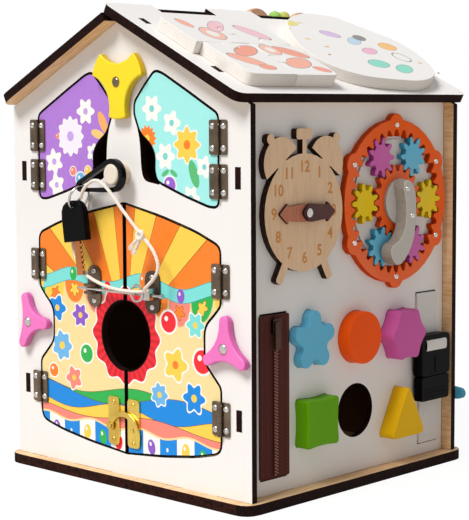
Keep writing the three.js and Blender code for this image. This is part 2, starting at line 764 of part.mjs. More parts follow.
// A paddle hand with an arrow head, pointing along +y or, with side -1, along -y
function handOutline(side) {
  const neck = hand.length - hand.headLength;
  const upperEdge = [
    [neck, hand.headBreadth / 2, hand.cornerReach],
    [neck, hand.shaftBreadth / 2, 0],
    [0, hand.hubRadius, hand.hubReach],
  ];
  const lowerEdge = upperEdge.map(([x, y, reach]) => [x, -y, reach]).reverse();
  const tip = [hand.length, 0, hand.cornerReach];
  const tail = [-hand.hubRadius, 0, hand.hubReach];
  const outline = easedOutline([tip, ...upperEdge, tail, ...lowerEdge]);
  return moved(side < 0 ? mirrored(outline) : outline, clock.y, clock.height);
}

function clockHands() {
  const hourBack = toyFront + jointGap;
  const hourFront = hourBack + hand.thickness;
  const minuteBack = hourFront + jointGap;
  const minuteFront = minuteBack + hand.thickness;
  const { y, height, shankRadius } = clock;
  const bore = plate(circleOutline(y, height, shankRadius + runningGap, smallRoundSteps), 0, minuteFront);
  place(rightSide, "hour_hand", cut(plate(handOutline(-1), hourBack, hourFront), bore), "redHand");
  const head = domeProfile(boltHeadRadius, minuteFront - fuseDepth, minuteFront + boltHeadThickness);
  const shank = cylinderProfile(shankRadius, nutFront - fuseDepth, minuteBack + fuseDepth);
  const minute = joined(
    plate(handOutline(1), minuteBack, minuteFront),
    turned(head, y, height),
    turned(shank, y, height),
    turned(cylinderProfile(nutRadius, nutFront - nutThickness, nutFront), y, height, nutSteps),
  );
  place(rightSide, "minute_hand", minute, "darkHand");
}

// The planetary gear toy: a fixed ring with inner teeth, six planets on a carrier disc, and
// a sun turned by a crank
const gears = {
  y: 55.6,
  height: 246.8,
  module: 3.36,
  pressureAngle: degToRad(25),
  sunTeeth: 18,
  planetTeeth: 9,
  planets: 6,
  addendumShare: 0.8,
  dedendumShare: 1,
  backlash: 1.3,
  thickness: 5.5,
  ringRadius: 72.8,
  boltCircle: 67.7,
  tabRadius: 10.3,
  tabs: 6,
};
const ringTeeth = gears.sunTeeth + 2 * gears.planetTeeth;
const orbitRadius = (gears.module * (gears.sunTeeth + gears.planetTeeth)) / 2;
const gearAddendum = gears.module * gears.addendumShare;
const gearDedendum = gears.module * gears.dedendumShare;
const carrier = { radius: 55, thickness: 1.5, stubRadius: 3, hubRadius: 8 };
const gearBack = seatGap + carrier.thickness + jointGap;
const gearFront = gearBack + gears.thickness;
const sunDisc = { radius: 20.5, thickness: 3, shankRadius: 4 };
const crank = { reach: 61.5, thickness: 11 };
const crankShares = [
  [-0.03, 0.33, 0.1],
  [0.11, 0.23, 0.15],
  [0.15, -0.02, 0.2],
  [0.135, -0.27, 0.2],
  [0.11, -0.52, 0.2],
  [-0.02, -0.74, 0.2],
  [-0.21, -0.91, 0.12],
  [-0.37, -0.88, 0.12],
  [-0.465, -0.72, 0.1],
  [-0.42, -0.59, 0.08],
  [-0.25, -0.56, 0.15],
  [-0.13, -0.4, 0.2],
  [-0.08, -0.17, 0.2],
  [-0.11, 0.04, 0.2],
  [-0.165, 0.21, 0.1],
  [-0.14, 0.31, 0.08],
];
const planetFinishes = ["gold", "blue", "magenta", "gold", "blue", "magenta"];

const involute = (angle) => Math.tan(angle) - angle;

// The outline of a gear with involute flanks about the origin, with one tooth at the turn
// angle. Slack thins the teeth; a negative slack widens the spaces that a ring is cut with.
function gearOutline(teeth, addendum, dedendum, slack, turn) {
  const flankSteps = 3;
  const pitchRadius = (gears.module * teeth) / 2;
  const baseRadius = pitchRadius * Math.cos(gears.pressureAngle);
  const tip = pitchRadius + addendum;
  const root = pitchRadius - dedendum;
  const flankFoot = Math.max(root, baseRadius);
  const radii = Array.from(
    { length: flankSteps + 1 },
    (_, i) => flankFoot + ((tip - flankFoot) * i) / flankSteps,
  );
  if (root < baseRadius) radii.unshift(root);
  const halfTooth = (radius) => {
    const roll = involute(Math.acos(Math.min(1, baseRadius / radius)));
    return quarterTurn / teeth - slack / (2 * pitchRadius) + involute(gears.pressureAngle) - roll;
  };
  const points = [];
  for (let k = 0; k < teeth; k += 1) {
    const middle = turn + (k / teeth) * fullTurn;
    radii.forEach((radius) => points.push(polar(middle - halfTooth(radius), radius)));
    [...radii].reverse().forEach((radius) => points.push(polar(middle + halfTooth(radius), radius)));
  }
  return points;
}

const onGears = (points) => moved(points, gears.y, gears.height);

function gearRing() {
  const { y, height, ringRadius, boltCircle, tabRadius, tabs, backlash } = gears;
  const pieces = [facePlate(circleOutline(y, height, ringRadius, bigRoundSteps))];
  for (let k = 0; k < tabs; k += 1) {
    const middle = polar(((k + 0.5) / tabs) * fullTurn, boltCircle);
    pieces.push(facePlate(onGears(circleOutline(middle.x, middle.y, tabRadius, roundSteps))));
  }
  const spaces = gearOutline(ringTeeth, gearDedendum, gearAddendum, -backlash / 2, 0);
  const hole = plate(onGears(spaces), toyBack - cutOverrun, toyFront + cutOverrun);
  place(rightSide, "gear_ring", cut(joined(pieces), hole), "orange");
}

function planetsAndCarrier() {
  const borer = (x, y, radius, steps) =>
    plate(circleOutline(x, y, radius + runningGap, steps), seatGap - cutOverrun, gearBack);
  const holes = [borer(gears.y, gears.height, carrier.hubRadius, roundSteps)];
  for (let k = 0; k < gears.planets; k += 1) {
    const angle = (k / gears.planets) * fullTurn;
    const { x, y } = polar(angle, orbitRadius).add(at(gears.y, gears.height));
    holes.push(borer(x, y, carrier.stubRadius, smallRoundSteps));
    const outline = gearOutline(gears.planetTeeth, gearAddendum, gearDedendum, gears.backlash / 2, angle);
    const planet = joined(
      plate(moved(outline, x, y), gearBack, gearFront),
      turned(cylinderProfile(carrier.stubRadius, seatGap + fuseDepth, gearBack + fuseDepth), x, y),
    );
    place(rightSide, `planet_gear_${k + 1}`, planet, planetFinishes[k]);
  }
  const rim = circleOutline(gears.y, gears.height, carrier.radius, bigRoundSteps);
  const disc = plate(rim, seatGap, seatGap + carrier.thickness);
  place(rightSide, "planet_carrier", cut(disc, holes), "whitePly");
}

function sunGear() {
  const { y, height } = gears;
  const teeth = gearOutline(gears.sunTeeth, gearAddendum, gearDedendum, gears.backlash / 2, 0);
  const discFront = gearFront + sunDisc.thickness;
  const sun = joined(
    plate(onGears(teeth), gearBack, gearFront),
    turned(cylinderProfile(sunDisc.radius, gearFront - fuseDepth, discFront), y, height, roundSteps),
    turned(cylinderProfile(carrier.hubRadius, seatGap, gearBack + fuseDepth), y, height, roundSteps),
    turned(cylinderProfile(sunDisc.shankRadius, nutFront - fuseDepth, gearBack), y, height),
    turned(cylinderProfile(carrier.hubRadius, nutFront - nutThickness, nutFront), y, height, nutSteps),
  );
  place(rightSide, "sun_gear", sun, "grey");
  const outline = onGears(easedOutline(cornersFrom(crankShares, 0, 0, crank.reach, crank.reach), 2));
  const crankBack = discFront + seatGap;
  place(rightSide, "crank_handle", plate(outline, crankBack, crankBack + crank.thickness), "grey");
}

// The zip: a tape with a raised row of teeth, and a slider with its pull
const zip = {
  y: -102,
  halfBreadth: 18,
  low: 23,
  high: 160,
  tapeThickness: 1.6,
  teethHalfBreadth: 2.5,
  teethRise: 1.4,
  teethMargin: 1.5,
  sliderHalfBreadth: 5,
  sliderTall: 13,
  sliderTop: 157,
  wall: 1.4,
  pullHalfBreadth: 3.5,
  pullBottom: 131,
  cornerReach: 2,
};

function zipParts() {
  const tapeFront = seatGap + zip.tapeThickness;
  const teethFront = tapeFront + zip.teethRise;
  const strip = (halfBreadth, low, high) =>
    roundedBox(zip.y - halfBreadth, low, zip.y + halfBreadth, high, zip.cornerReach);
  const row = strip(zip.teethHalfBreadth, zip.low + zip.teethMargin, zip.high - zip.teethMargin);
  const tape = plate(strip(zip.halfBreadth, zip.low, zip.high), seatGap, tapeFront);
  place(rightSide, "zip_tape", joined(tape, plate(row, tapeFront - fuseDepth, teethFront)), "brownCloth");

  const sliderFoot = zip.sliderTop - zip.sliderTall;
  const grooveFront = teethFront + runningGap;
  const sliderFront = grooveFront + zip.wall;
  const bodyOutline = strip(zip.sliderHalfBreadth, sliderFoot, zip.sliderTop);
  const body = plate(bodyOutline, tapeFront + runningGap, sliderFront);
  const grooveHalf = zip.teethHalfBreadth + runningGap;
  const grooveOutline = boxOutline(
    zip.y - grooveHalf,
    sliderFoot - cutOverrun,
    zip.y + grooveHalf,
    zip.sliderTop + cutOverrun,
  );
  const pull = strip(zip.pullHalfBreadth, zip.pullBottom, zip.sliderTop - zip.cornerReach);
  const slider = joined(
    cut(body, plate(grooveOutline, 0, grooveFront)),
    plate(pull, sliderFront - fuseDepth, sliderFront + zip.wall),
  );
  place(rightSide, "zip_slider", slider, "brownCloth");
}

// The straps, which come out of slots in the right wall, and the side-release buckle
const strap = { halfBreadth: 14.8, thickness: 1.6, slotHalfHeight: 2, insideTail: 14 };
const upperSlot = { y: 107.5, height: 159.3 };
const lowerSlot = { y: 111.5, height: 21 };
const socket = {
  y: 108,
  halfBreadth: 22,
  low: 84,
  high: 122,
  back: 2.5,
  thickness: 10,
  cavityHalfBreadth: 18,
  cavityDeep: 30,
  cavityTall: 6,
  cornerReach: 5,
  strapLap: 10,
};
const plug = {
  halfBreadth: 21,
  low: 61,
  thickness: 9,
  prongs: 3,
  prongHalfBreadth: 2.5,
  prongSpacing: 14.5,
  prongLength: 26,
  prongThickness: 3.6,
  cornerReach: 3,
};

function slotOutline({ y, height }) {
  const half = strap.halfBreadth + runningGap;
  return boxOutline(y - half, height - strap.slotHalfHeight, y + half, height + strap.slotHalfHeight);
}

// A strap that comes out of its slot and turns along the wall to the height where it ends,
// with a tail that turns up behind the wall
function strapSolid(slot, endHeight) {
  const low = slot.height - strap.thickness / 2;
  const high = slot.height + strap.thickness / 2;
  const front = seatGap + strap.thickness;
  const inside = nutFront - strap.thickness;
  const piece = (bottom, top, from, to) =>
    plate(boxOutline(slot.y - strap.halfBreadth, bottom, slot.y + strap.halfBreadth, top), from, to);
  return joined(
    piece(low, high, inside, front),
    piece(Math.min(endHeight, low), Math.max(endHeight, high), seatGap, front),
    piece(low, slot.height + strap.insideTail, inside, nutFront),
  );
}

function buckle() {
  const front = socket.back + socket.thickness;
  const shellOutline = roundedBox(
    socket.y - socket.halfBreadth,
    socket.low,
    socket.y + socket.halfBreadth,
    socket.high,
    socket.cornerReach,
  );
  const cavityOutline = boxOutline(
    socket.y - socket.cavityHalfBreadth,
    socket.low - cutOverrun,
    socket.y + socket.cavityHalfBreadth,
    socket.low + socket.cavityDeep,
  );
  const cavityBack = socket.back + (socket.thickness - socket.cavityTall) / 2;
  const body = cut(
    plate(shellOutline, socket.back, front),
    plate(cavityOutline, cavityBack, cavityBack + socket.cavityTall),
  );
  const lapLow = socket.high - socket.strapLap;
  const bridgeOutline = boxOutline(
    upperSlot.y - strap.halfBreadth,
    lapLow,
    upperSlot.y + strap.halfBreadth,
    socket.high - socket.cornerReach,
  );
  const bridge = plate(bridgeOutline, seatGap, socket.back + fuseDepth);
  place(rightSide, "buckle_socket", joined(body, bridge, strapSolid(upperSlot, lapLow)), "black");

  const plugTop = socket.low - jointGap;
  const plugBack = socket.back + (socket.thickness - plug.thickness) / 2;
  const baseOutline = roundedBox(
    socket.y - plug.halfBreadth,
    plug.low,
    socket.y + plug.halfBreadth,
    plugTop,
    plug.cornerReach,
  );
  const prongBack = cavityBack + (socket.cavityTall - plug.prongThickness) / 2;
  const prongs = Array.from({ length: plug.prongs }, (_, k) => {
    const middle = socket.y + (k - (plug.prongs - 1) / 2) * plug.prongSpacing;
    const outline = roundedBox(
      middle - plug.prongHalfBreadth,
      plugTop - plug.cornerReach,
      middle + plug.prongHalfBreadth,
      plugTop + plug.prongLength,
      plug.prongHalfBreadth / 2,
    );
    return plate(outline, prongBack, prongBack + plug.prongThickness);
  });
  const plugBase = plate(baseOutline, plugBack, plugBack + plug.thickness);
  place(rightSide, "buckle_plug", joined(plugBase, prongs), "black");
  place(rightSide, "lower_strap", strapSolid(lowerSlot, plug.low - jointGap), "webbing");
}

// mirror is -1 on the side whose own x runs the other way along the house
function sideWall(side, name, mirror, holes) {
  const end = endInner - jointGap;
  const top = roofUnderside(sideFace) - jointGap;
  const wall = plate(boxOutline(-end, wallFoot, end, top), -panelThickness, 0);
  const tabs = sideTabHeights.map(([low, high]) =>
    plate(boxOutline(frontFace, low, -frontFace, high), -panelThickness, 0),
  );
  const tongues = sideTongueSpans.map(([a, b]) =>
    plate(boxOutline(mirror * a, tongueFloor, mirror * b, wallFoot + cutOverrun), -panelThickness, 0),
  );
  place(side, name, cut(joined(wall, tabs, tongues), holes), "whitePly");
}

function sideWalls() {
  const sorterHoles = sorterBlocks.map(([, { y, height }, outline]) =>
    through(moved(grownOutline(outline, runningGap), y, height)),
  );
  const holes = [
    ...sorterHoles,
    through(circleOutline(openHole.y, openHole.height, openHole.radius, bigRoundSteps)),
    shankHole(clock.y, clock.height, clock.shankRadius),
    shankHole(gears.y, gears.height, sunDisc.shankRadius),
    through(slotOutline(upperSlot)),
    through(slotOutline(lowerSlot)),
  ];
  sideWall(rightSide, "right_wall", 1, holes);
  sideWall(leftSide, "left_wall", -1, []);
}

// The rod latch across the lower doors: a guide block and a ring on the right door's plate,
// a fork on the left door's plate, and the rod that slides in both
const latch = {
  height: 172,
  plateHeight: 174,
  plateThickness: 1.5,
  plateHalfHeight: 18.5,
  rightX: 36,
  rightHalfBreadth: 9,
  leftX: -38.8,
  leftHalfBreadth: 8.5,
  rodRadius: 1.3,
  rodOut: 7,
  rodFrom: -53,
  rodTo: 55,
  stopLength: 3,
  stopRadius: 2.2,
  boreSlack: 0.6,
  guideHalfBreadth: 5,
  guideLow: 168,
  guideHigh: 178,
  guideFront: 10,
  forkHalfBreadth: 5,
  forkFront: 9.5,
  earThickness: 2.6,
  earGap: 0.7,
};
const latchRing = { x: 26, height: 173, radius: 7, wireRadius: 1.2, out: 10.4, wireSteps: 6 };

function latchPlate(x, halfBreadth) {
  const { plateHeight, plateHalfHeight, plateThickness } = latch;
  const outline = roundedBox(
    x - halfBreadth,
    plateHeight - plateHalfHeight,
    x + halfBreadth,
    plateHeight + plateHalfHeight,
    halfBreadth,
  );
  return plate(outline, seatGap, seatGap + plateThickness);
}

function rodLatch() {
  const root = seatGap + fuseDepth;
  const guideLeft = latch.rightX - latch.guideHalfBreadth;
  const guideRight = latch.rightX + latch.guideHalfBreadth;
  const { height, rodOut, leftX, forkHalfBreadth } = latch;
  const guideOutline = boxOutline(guideLeft, latch.guideLow, guideRight, latch.guideHigh);
  const boreRadius = latch.rodRadius + latch.boreSlack;
  const bore = crossRod(boreRadius, guideLeft - cutOverrun, guideRight + cutOverrun, height, rodOut);
  const guide = cut(plate(guideOutline, root, latch.guideFront), bore);
  const { radius, wireRadius, wireSteps } = latchRing;
  const ring = new THREE.TorusGeometry(radius, wireRadius, wireSteps, roundSteps);
  ring.translate(latchRing.x, latchRing.height, latchRing.out);
  const guidePlate = joined(latchPlate(latch.rightX, latch.rightHalfBreadth), guide, solidOf(ring));
  place(frontSide, "rod_guide_plate", guidePlate, "bronze");

  const earNear = latch.rodRadius + latch.earGap;
  const earFar = earNear + latch.earThickness;
  const ear = (low, high) => {
    const outline = boxOutline(leftX - forkHalfBreadth, low, leftX + forkHalfBreadth, high);
    return plate(outline, root, latch.forkFront);
  };
  const keeper = joined(
    latchPlate(leftX, latch.leftHalfBreadth),
    ear(height + earNear, height + earFar),
    ear(height - earFar, height - earNear),
  );
  place(frontSide, "rod_keeper_plate", keeper, "bronze");

  const rod = joined(
    crossRod(latch.rodRadius, latch.rodFrom, latch.rodTo, height, rodOut),
    crossRod(latch.stopRadius, latch.rodTo - latch.stopLength, latch.rodTo, height, rodOut),
  );
  place(frontSide, "latch_rod", rod, "steel");
}

// The brass latch below: a crescent hook on the left door's plate and a post on the right one
const brass = {
  plateThickness: 1.5,
  low: 35,
  high: 78,
  leftFrom: -22,
  leftTo: -8,
  rightFrom: 3,
  rightTo: 18,
  cornerReach: 4,
  postX: 11,
  postHeight: 50.4,
  postRadius: 2.2,
};
const brassPivot = { x: -18, height: 52, radius: 1.8, headRadius: 3, headThickness: 1 };
const brassHook = {
  x: -1,
  height: 46,
  back: 2.2,
  thickness: 2,
  halfBreadth: 2.5,
  eyeRadius: 4.5,
  tip: degToRad(-10),
};

function brassLatch() {
  const plateFront = seatGap + brass.plateThickness;
  const hookFront = brassHook.back + brassHook.thickness;
  const headBack = hookFront + jointGap;
  const leaf = (from, to) =>
    plate(roundedBox(from, brass.low, to, brass.high, brass.cornerReach), seatGap, plateFront);
  const pin = cylinderProfile(brassPivot.radius, plateFront - fuseDepth, headBack + fuseDepth);
  const pinHead = domeProfile(brassPivot.headRadius, headBack, headBack + brassPivot.headThickness);
  const hookPlate = joined(
    leaf(brass.leftFrom, brass.leftTo),
    turned(pin, brassPivot.x, brassPivot.height),
    turned(pinHead, brassPivot.x, brassPivot.height),
  );
  place(frontSide, "brass_hook_plate", hookPlate, "brass");
  const post = cylinderProfile(brass.postRadius, plateFront - fuseDepth, hookFront);
  const catchPost = turned(post, brass.postX, brass.postHeight);
  const catchPlate = joined(leaf(brass.rightFrom, brass.rightTo), catchPost);
  place(frontSide, "brass_catch_plate", catchPlate, "brass");

  const toPivot = at(brassPivot.x - brassHook.x, brassPivot.height - brassHook.height);
  const radius = toPivot.length();
  const { x, height, halfBreadth, tip, eyeRadius, back } = brassHook;
  const outer = arcPoints(x, height, radius + halfBreadth, tip, toPivot.angle(), roundSteps);
  const inner = arcPoints(x, height, radius - halfBreadth, toPivot.angle(), tip, roundSteps);
  const boreRadius = brassPivot.radius + runningGap;
  const eye = circleOutline(brassPivot.x, brassPivot.height, boreRadius, smallRoundSteps);
  const hook = joined(
    plate([...outer, ...inner], back, hookFront),
    turned(cylinderProfile(eyeRadius, back, hookFront), brassPivot.x, brassPivot.height, roundSteps),
  );
  place(frontSide, "brass_hook", cut(hook, plate(eye, 0, hookFront + cutOverrun)), "brass");
}

// The peg, the key on its loop, and the cord that ties them to the latch
const pegRise = 25;
const peg = { height: upperDoorFoot + pegRise, radius: 9, length: 16, edge: 1 };
const loop = {
  bigInner: 10.2,
  bigOuter: 14.5,
  smallX: -41,
  smallDrop: 11,
  smallInner: 1.8,
  smallOuter: 5,
  back: 10,
  thickness: 5,
};
const key = {
  topX: -50,
  topDrop: 24,
  tilt: degToRad(8),
  halfBreadth: 15,
  tall: 36,
  archReach: 14,
  footReach: 1,
  back: 12,
  thickness: 6,
  holeDrop: 5.5,
  holeRadius: 2.6,
  bladeHalfBreadth: 4,
  bladeLength: 30,
  bladeThickness: 2,
};
const splitRing = { wireRadius: 1, bite: 0.5, wireSteps: 6 };

// The outline round two circles, with its straight sides touching both
function beltOutline(a, aRadius, b, bRadius) {
  const way = b.clone().sub(a);
  const swing = Math.acos((aRadius - bRadius) / way.length());
  const heading = way.angle();
  return [
    ...arcPoints(b.x, b.y, bRadius, heading - swing, heading + swing, smallRoundSteps),
    ...arcPoints(a.x, a.y, aRadius, heading + swing, heading + fullTurn - swing, roundSteps),
  ];
}

function keyLoop() {
  // the loop hangs on the peg, so its big eye sits lower than the peg's middle
  const hang = loop.bigInner - peg.radius - jointGap;
  const big = at(0, peg.height - hang);
  const small = at(loop.smallX, peg.height - loop.smallDrop);
  const front = loop.back + loop.thickness;
  const outside = plate(beltOutline(big, loop.bigOuter, small, loop.smallOuter), loop.back, front);
  const inside = beltOutline(big, loop.bigInner, small, loop.smallInner);
  const opening = plate(inside, loop.back - cutOverrun, front + cutOverrun);
  place(frontSide, "key_ring", cut(outside, opening), "black");
}

function pegAndKey() {
  const pegProfile = [
    [0, seatGap],
    [peg.radius, seatGap],
    [peg.radius, peg.length - peg.edge],
    [peg.radius - peg.edge, peg.length],
    [0, peg.length],
  ];
  place(frontSide, "key_peg", turned(pegProfile, 0, peg.height, roundSteps), "barePly");

  const keyTop = peg.height - key.topDrop;
  const onKey = (points) => moved(turnedBy(points, key.tilt), key.topX, keyTop);
  const head = easedOutline([
    [-key.halfBreadth, -key.tall, key.footReach],
    [key.halfBreadth, -key.tall, key.footReach],
    [key.halfBreadth, 0, key.archReach],
    [-key.halfBreadth, 0, key.archReach],
  ]);
  const bladeFoot = -key.tall - key.bladeLength;
  const blade = boxOutline(-key.bladeHalfBreadth, bladeFoot, key.bladeHalfBreadth, cutOverrun - key.tall);
  const bladeBack = key.back + (key.thickness - key.bladeThickness) / 2;
  const hole = circleOutline(0, -key.holeDrop, key.holeRadius, smallRoundSteps);
  const front = key.back + key.thickness;
  // the split ring runs through the loop's small eye and bites the foot of the key's hole
  const eye = at(loop.smallX, peg.height - loop.smallDrop);
  const [ringFoot] = onKey([at(0, -key.holeDrop - key.holeRadius + splitRing.bite)]);
  const rise = eye.clone().sub(ringFoot);
  const middle = eye.clone().add(ringFoot).divideScalar(2);
  const { wireRadius, wireSteps } = splitRing;
  const ring = new THREE.TorusGeometry(rise.length() / 2, wireRadius, wireSteps, roundSteps);
  ring.rotateY(quarterTurn).rotateZ(rise.angle() - quarterTurn);
  ring.translate(middle.x, middle.y, loop.back + loop.thickness / 2);
  const wholeKey = joined(
    cut(plate(onKey(head), key.back, front), plate(onKey(hole), key.back - cutOverrun, front + cutOverrun)),
    plate(onKey(blade), bladeBack, bladeBack + key.bladeThickness),
    solidOf(ring),
  );
  place(frontSide, "key", wholeKey, "black");
}

// The cord's route, chosen by hand: x, height, distance out from the wall. It leaves the
// guide block, rises over the loop, threads the split ring, passes behind the key and
// comes back to the guide block.
const cordRadius = 1.5;
const cordSides = 8;
const cordSteps = 64;
const cordRoute = [
  [39.5, 175.5, 10.3],
  [39.5, 175.7, 13],
  [42, 178, 16],
  [47.5, 182, 17.5],
  [54, 188, 17],
  [58.5, 196.5, 16],
  [56, 206, 15.5],
  [48, 216, 15.5],
  [38.5, 224, 15.8],
  [27, 234.5, 16.2],
  [16.4, 244.2, 16.8],
  [5, 256, 17.6],
  [-5, 264.5, 18],
  [-15.1, 268.6, 18],
  [-25, 266, 17.9],
  [-33, 259.8, 17.7],
  [-37, 255, 16.5],
  [-41.3, 252.4, 14],
  [-45.3, 252, 11.4],
  [-50, 248.5, 9.6],
  [-54.5, 241.5, 8.7],
  [-58, 230.5, 8.4],
  [-59.5, 218, 8.4],
  [-57.8, 207.5, 8.8],
  [-51, 194.8, 9.8],
  [-40.8, 185.8, 11],
  [-30, 182, 12.4],
  [-19.6, 179.6, 14],
  [-8, 177.6, 15.8],
  [3.7, 176.2, 17],
  [15, 175.6, 17.6],
  [25, 175.5, 17.5],
  [31, 175.5, 16.7],
  [35, 175.5, 14.4],
  [36.1, 175.5, 12.3],
  [36.1, 175.5, 10.3],
];

function keyCord() {
  const path = new THREE.CatmullRomCurve3(cordRoute.map((point) => new THREE.Vector3(...point)));
  const section = new THREE.Shape(circleOutline(0, 0, cordRadius, cordSides));
  const tube = { steps: cordSteps, extrudePath: path, bevelEnabled: false };
  place(frontSide, "key_cord", solidOf(new THREE.ExtrudeGeometry(section, tube)), "cream");
}

// The block puzzle: four interlocking blocks on the right slope
const puzzle = {
  front: -132,
  seamY: -76,
  back: -22,
  low: 13,
  seamUp: 74,
  high: 126,
  stepOut: 7,
  thickness: 11,
  gap: 0.6,
  cornerReach: 8,
  tabRadius: 7.5,
  tabOffset: 4.5,
  tabSteps: 16,
};

function blockPuzzle() {
  const { front, seamY, back, low, seamUp, high, gap, cornerReach, stepOut, tabOffset } = puzzle;
  const under = seatGap;
  const over = seatGap + puzzle.thickness;
  const beforeSeam = seamY - gap / 2;
  const afterSeam = seamY + gap / 2;
  const underSeam = seamUp - gap / 2;
  const overSeam = seamUp + gap / 2;
  const tab = ([y, up], grow, past) =>
    plate(circleOutline(y, up, puzzle.tabRadius + grow, puzzle.tabSteps), under - past, over + past);
  const tabs = {
    lowFront: [seamY + tabOffset, (low + seamUp) / 2],
    lowBack: [(seamY + back) / 2, seamUp + tabOffset],
    highBack: [seamY - tabOffset, (seamUp + high) / 2],
    highFront: [(front + seamY) / 2, seamUp - tabOffset],
  };
  // each block keeps its own tab and makes room for the tab of the block before it
  const block = (name, corners, own, before) => {
    const body = plate(easedOutline(corners), under, over);
    const solid = cut(joined(body, tab(tabs[own], 0, 0)), tab(tabs[before], gap, cutOverrun));
    place(rightSlope, name, solid, "whitePly");
  };
  const lowFront = [
    [front, low, cornerReach],
    [beforeSeam, low, 0],
    [beforeSeam, underSeam, 0],
    [front, underSeam, gap],
  ];
  const lowBack = [
    [afterSeam, low, 0],
    [back, low, cornerReach],
    [back, underSeam, gap],
    [afterSeam, underSeam, 0],
  ];
  const highBack = [
    [afterSeam, overSeam, 0],
    [back, overSeam, gap],
    [back, high, cornerReach],
    [afterSeam, high, 0],
  ];
  const highFront = [
    [front - stepOut, overSeam, gap],
    [beforeSeam, overSeam, 0],
    [beforeSeam, high, 0],
    [front - stepOut, high, cornerReach],
  ];
  block("puzzle_piece_low_front", lowFront, "lowFront", "highFront");
  block("puzzle_piece_low_back", lowBack, "lowBack", "lowFront");
  block("puzzle_piece_high_back", highBack, "highBack", "lowBack");
  block("puzzle_piece_high_front", highFront, "highFront", "highBack");
}

// The picture board with a wavy edge; its corner shares run along the roof and up the slope
const board = { left: -14, breadth: 168, low: 6, tall: 151, thickness: 10 };
const boardShares = [
  [0.286, 0.861, 0.1],
  [0.405, 0.934, 0.1],
  [0.56, 1, 0.15],
  [0.762, 0.964, 0.1],
  [0.845, 0.854, 0.1],
  [0.926, 0.722, 0.08],
  [0.99, 0.64, 0.06],
  [1, 0.52, 0.08],
  [0.985, 0.38, 0.1],
  [0.905, 0.192, 0.1],
  [0.792, 0.07, 0.1],
  [0.598, 0, 0.15],
  [0.44, 0.012, 0.1],
  [0.205, 0.043, 0.1],
  [0.077, 0.123, 0.1],
  [0.002, 0.256, 0.1],
  [0.014, 0.43, 0.1],
  [0.134, 0.672, 0.15],
];

function roofBoard() {
  const corners = cornersFrom(boardShares, board.left, board.low, board.breadth, board.tall);
  const solid = plate(easedOutline(corners), seatGap, seatGap + board.thickness);
  place(rightSlope, "roof_board", solid, "whitePly");
}

basePlate();
frontWall();
backWall();
sideWalls();
roofPanels();
doorsAndHinges();
turnButtons();
rodLatch();
brassLatch();
pegAndKey();
keyLoop();
keyCord();
clockFace();
clockHands();
gearRing();
planetsAndCarrier();
sunGear();
sorter();
zipParts();
buckle();
blockPuzzle();
roofBoard();

export default house;
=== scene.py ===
import json
import math

import bmesh
import bpy
from mathutils import Matrix, Vector


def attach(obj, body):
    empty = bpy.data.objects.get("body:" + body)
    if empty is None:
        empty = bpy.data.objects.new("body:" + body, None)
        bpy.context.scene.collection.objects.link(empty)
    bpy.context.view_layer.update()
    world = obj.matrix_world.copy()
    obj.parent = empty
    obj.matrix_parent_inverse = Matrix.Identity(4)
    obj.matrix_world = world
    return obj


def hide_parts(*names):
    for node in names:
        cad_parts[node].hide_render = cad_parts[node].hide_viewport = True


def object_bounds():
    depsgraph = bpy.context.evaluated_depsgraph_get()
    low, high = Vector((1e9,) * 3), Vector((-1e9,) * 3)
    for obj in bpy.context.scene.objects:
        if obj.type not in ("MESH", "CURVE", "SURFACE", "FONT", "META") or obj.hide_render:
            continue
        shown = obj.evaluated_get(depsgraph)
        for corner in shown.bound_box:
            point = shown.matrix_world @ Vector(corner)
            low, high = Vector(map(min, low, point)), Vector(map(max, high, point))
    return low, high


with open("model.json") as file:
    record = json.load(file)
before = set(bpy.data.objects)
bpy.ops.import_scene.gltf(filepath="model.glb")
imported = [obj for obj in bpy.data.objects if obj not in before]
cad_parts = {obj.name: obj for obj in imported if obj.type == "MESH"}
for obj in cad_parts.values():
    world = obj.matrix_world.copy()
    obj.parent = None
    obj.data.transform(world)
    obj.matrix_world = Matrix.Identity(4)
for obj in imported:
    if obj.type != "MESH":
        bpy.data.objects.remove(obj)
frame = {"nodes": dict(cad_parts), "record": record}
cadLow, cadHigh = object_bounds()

scene = bpy.context.scene
mm = 0.001
fullTurn = 2 * math.pi

print("scene: camera")
view = {
    "place": (0.9887131, -1.0380755, 0.3271545),
    "turn": (1.4748, 0.0054, 0.7615),
    "lens": 106.741,
    "sensor": 36,
}
lens = bpy.data.cameras.new("view")
lens.lens = view["lens"]
lens.sensor_width = view["sensor"]
camera = bpy.data.objects.new("view", lens)
camera.location = view["place"]
camera.rotation_euler = view["turn"]
scene.collection.objects.link(camera)
scene.camera = camera

# The sides of the house, in mm: across, up and out, read from outside.
wallOut = {"front": 140, "right": 139}
roofPitch = math.radians(26.42)
eave = {"x": 151, "height": 341.5}
slopeSine, slopeCosine = math.sin(roofPitch), math.cos(roofPitch)


def sideMatrix(across, up, out, origin):
    columns = Matrix((across, up, out)).transposed().to_4x4()
    return Matrix.Translation(Vector(origin) * mm) @ columns @ Matrix.Diagonal((mm, mm, mm, 1))


sides = {
    "front": ((1, 0, 0), (0, 0, 1), (0, -1, 0), (0, -wallOut["front"], 0)),
    "back": ((-1, 0, 0), (0, 0, 1), (0, 1, 0), (0, wallOut["front"], 0)),
    "right": ((0, 1, 0), (0, 0, 1), (1, 0, 0), (wallOut["right"], 0, 0)),
    "left": ((0, -1, 0), (0, 0, 1), (-1, 0, 0), (-wallOut["right"], 0, 0)),
    "slope": (
        (0, 1, 0), (-slopeCosine, 0, slopeSine), (slopeSine, 0, slopeCosine),
        (eave["x"], 0, eave["height"]),
    ),
    "farSlope": (
        (0, -1, 0), (slopeCosine, 0, slopeSine), (-slopeSine, 0, slopeCosine),
        (-eave["x"], 0, eave["height"]),
    ),
}
onSide = {name: sideMatrix(*axes) for name, axes in sides.items()}
bodyOf = {n: b for b, nodes in frame["record"]["behaviour"]["bodies"].items() for n in nodes}


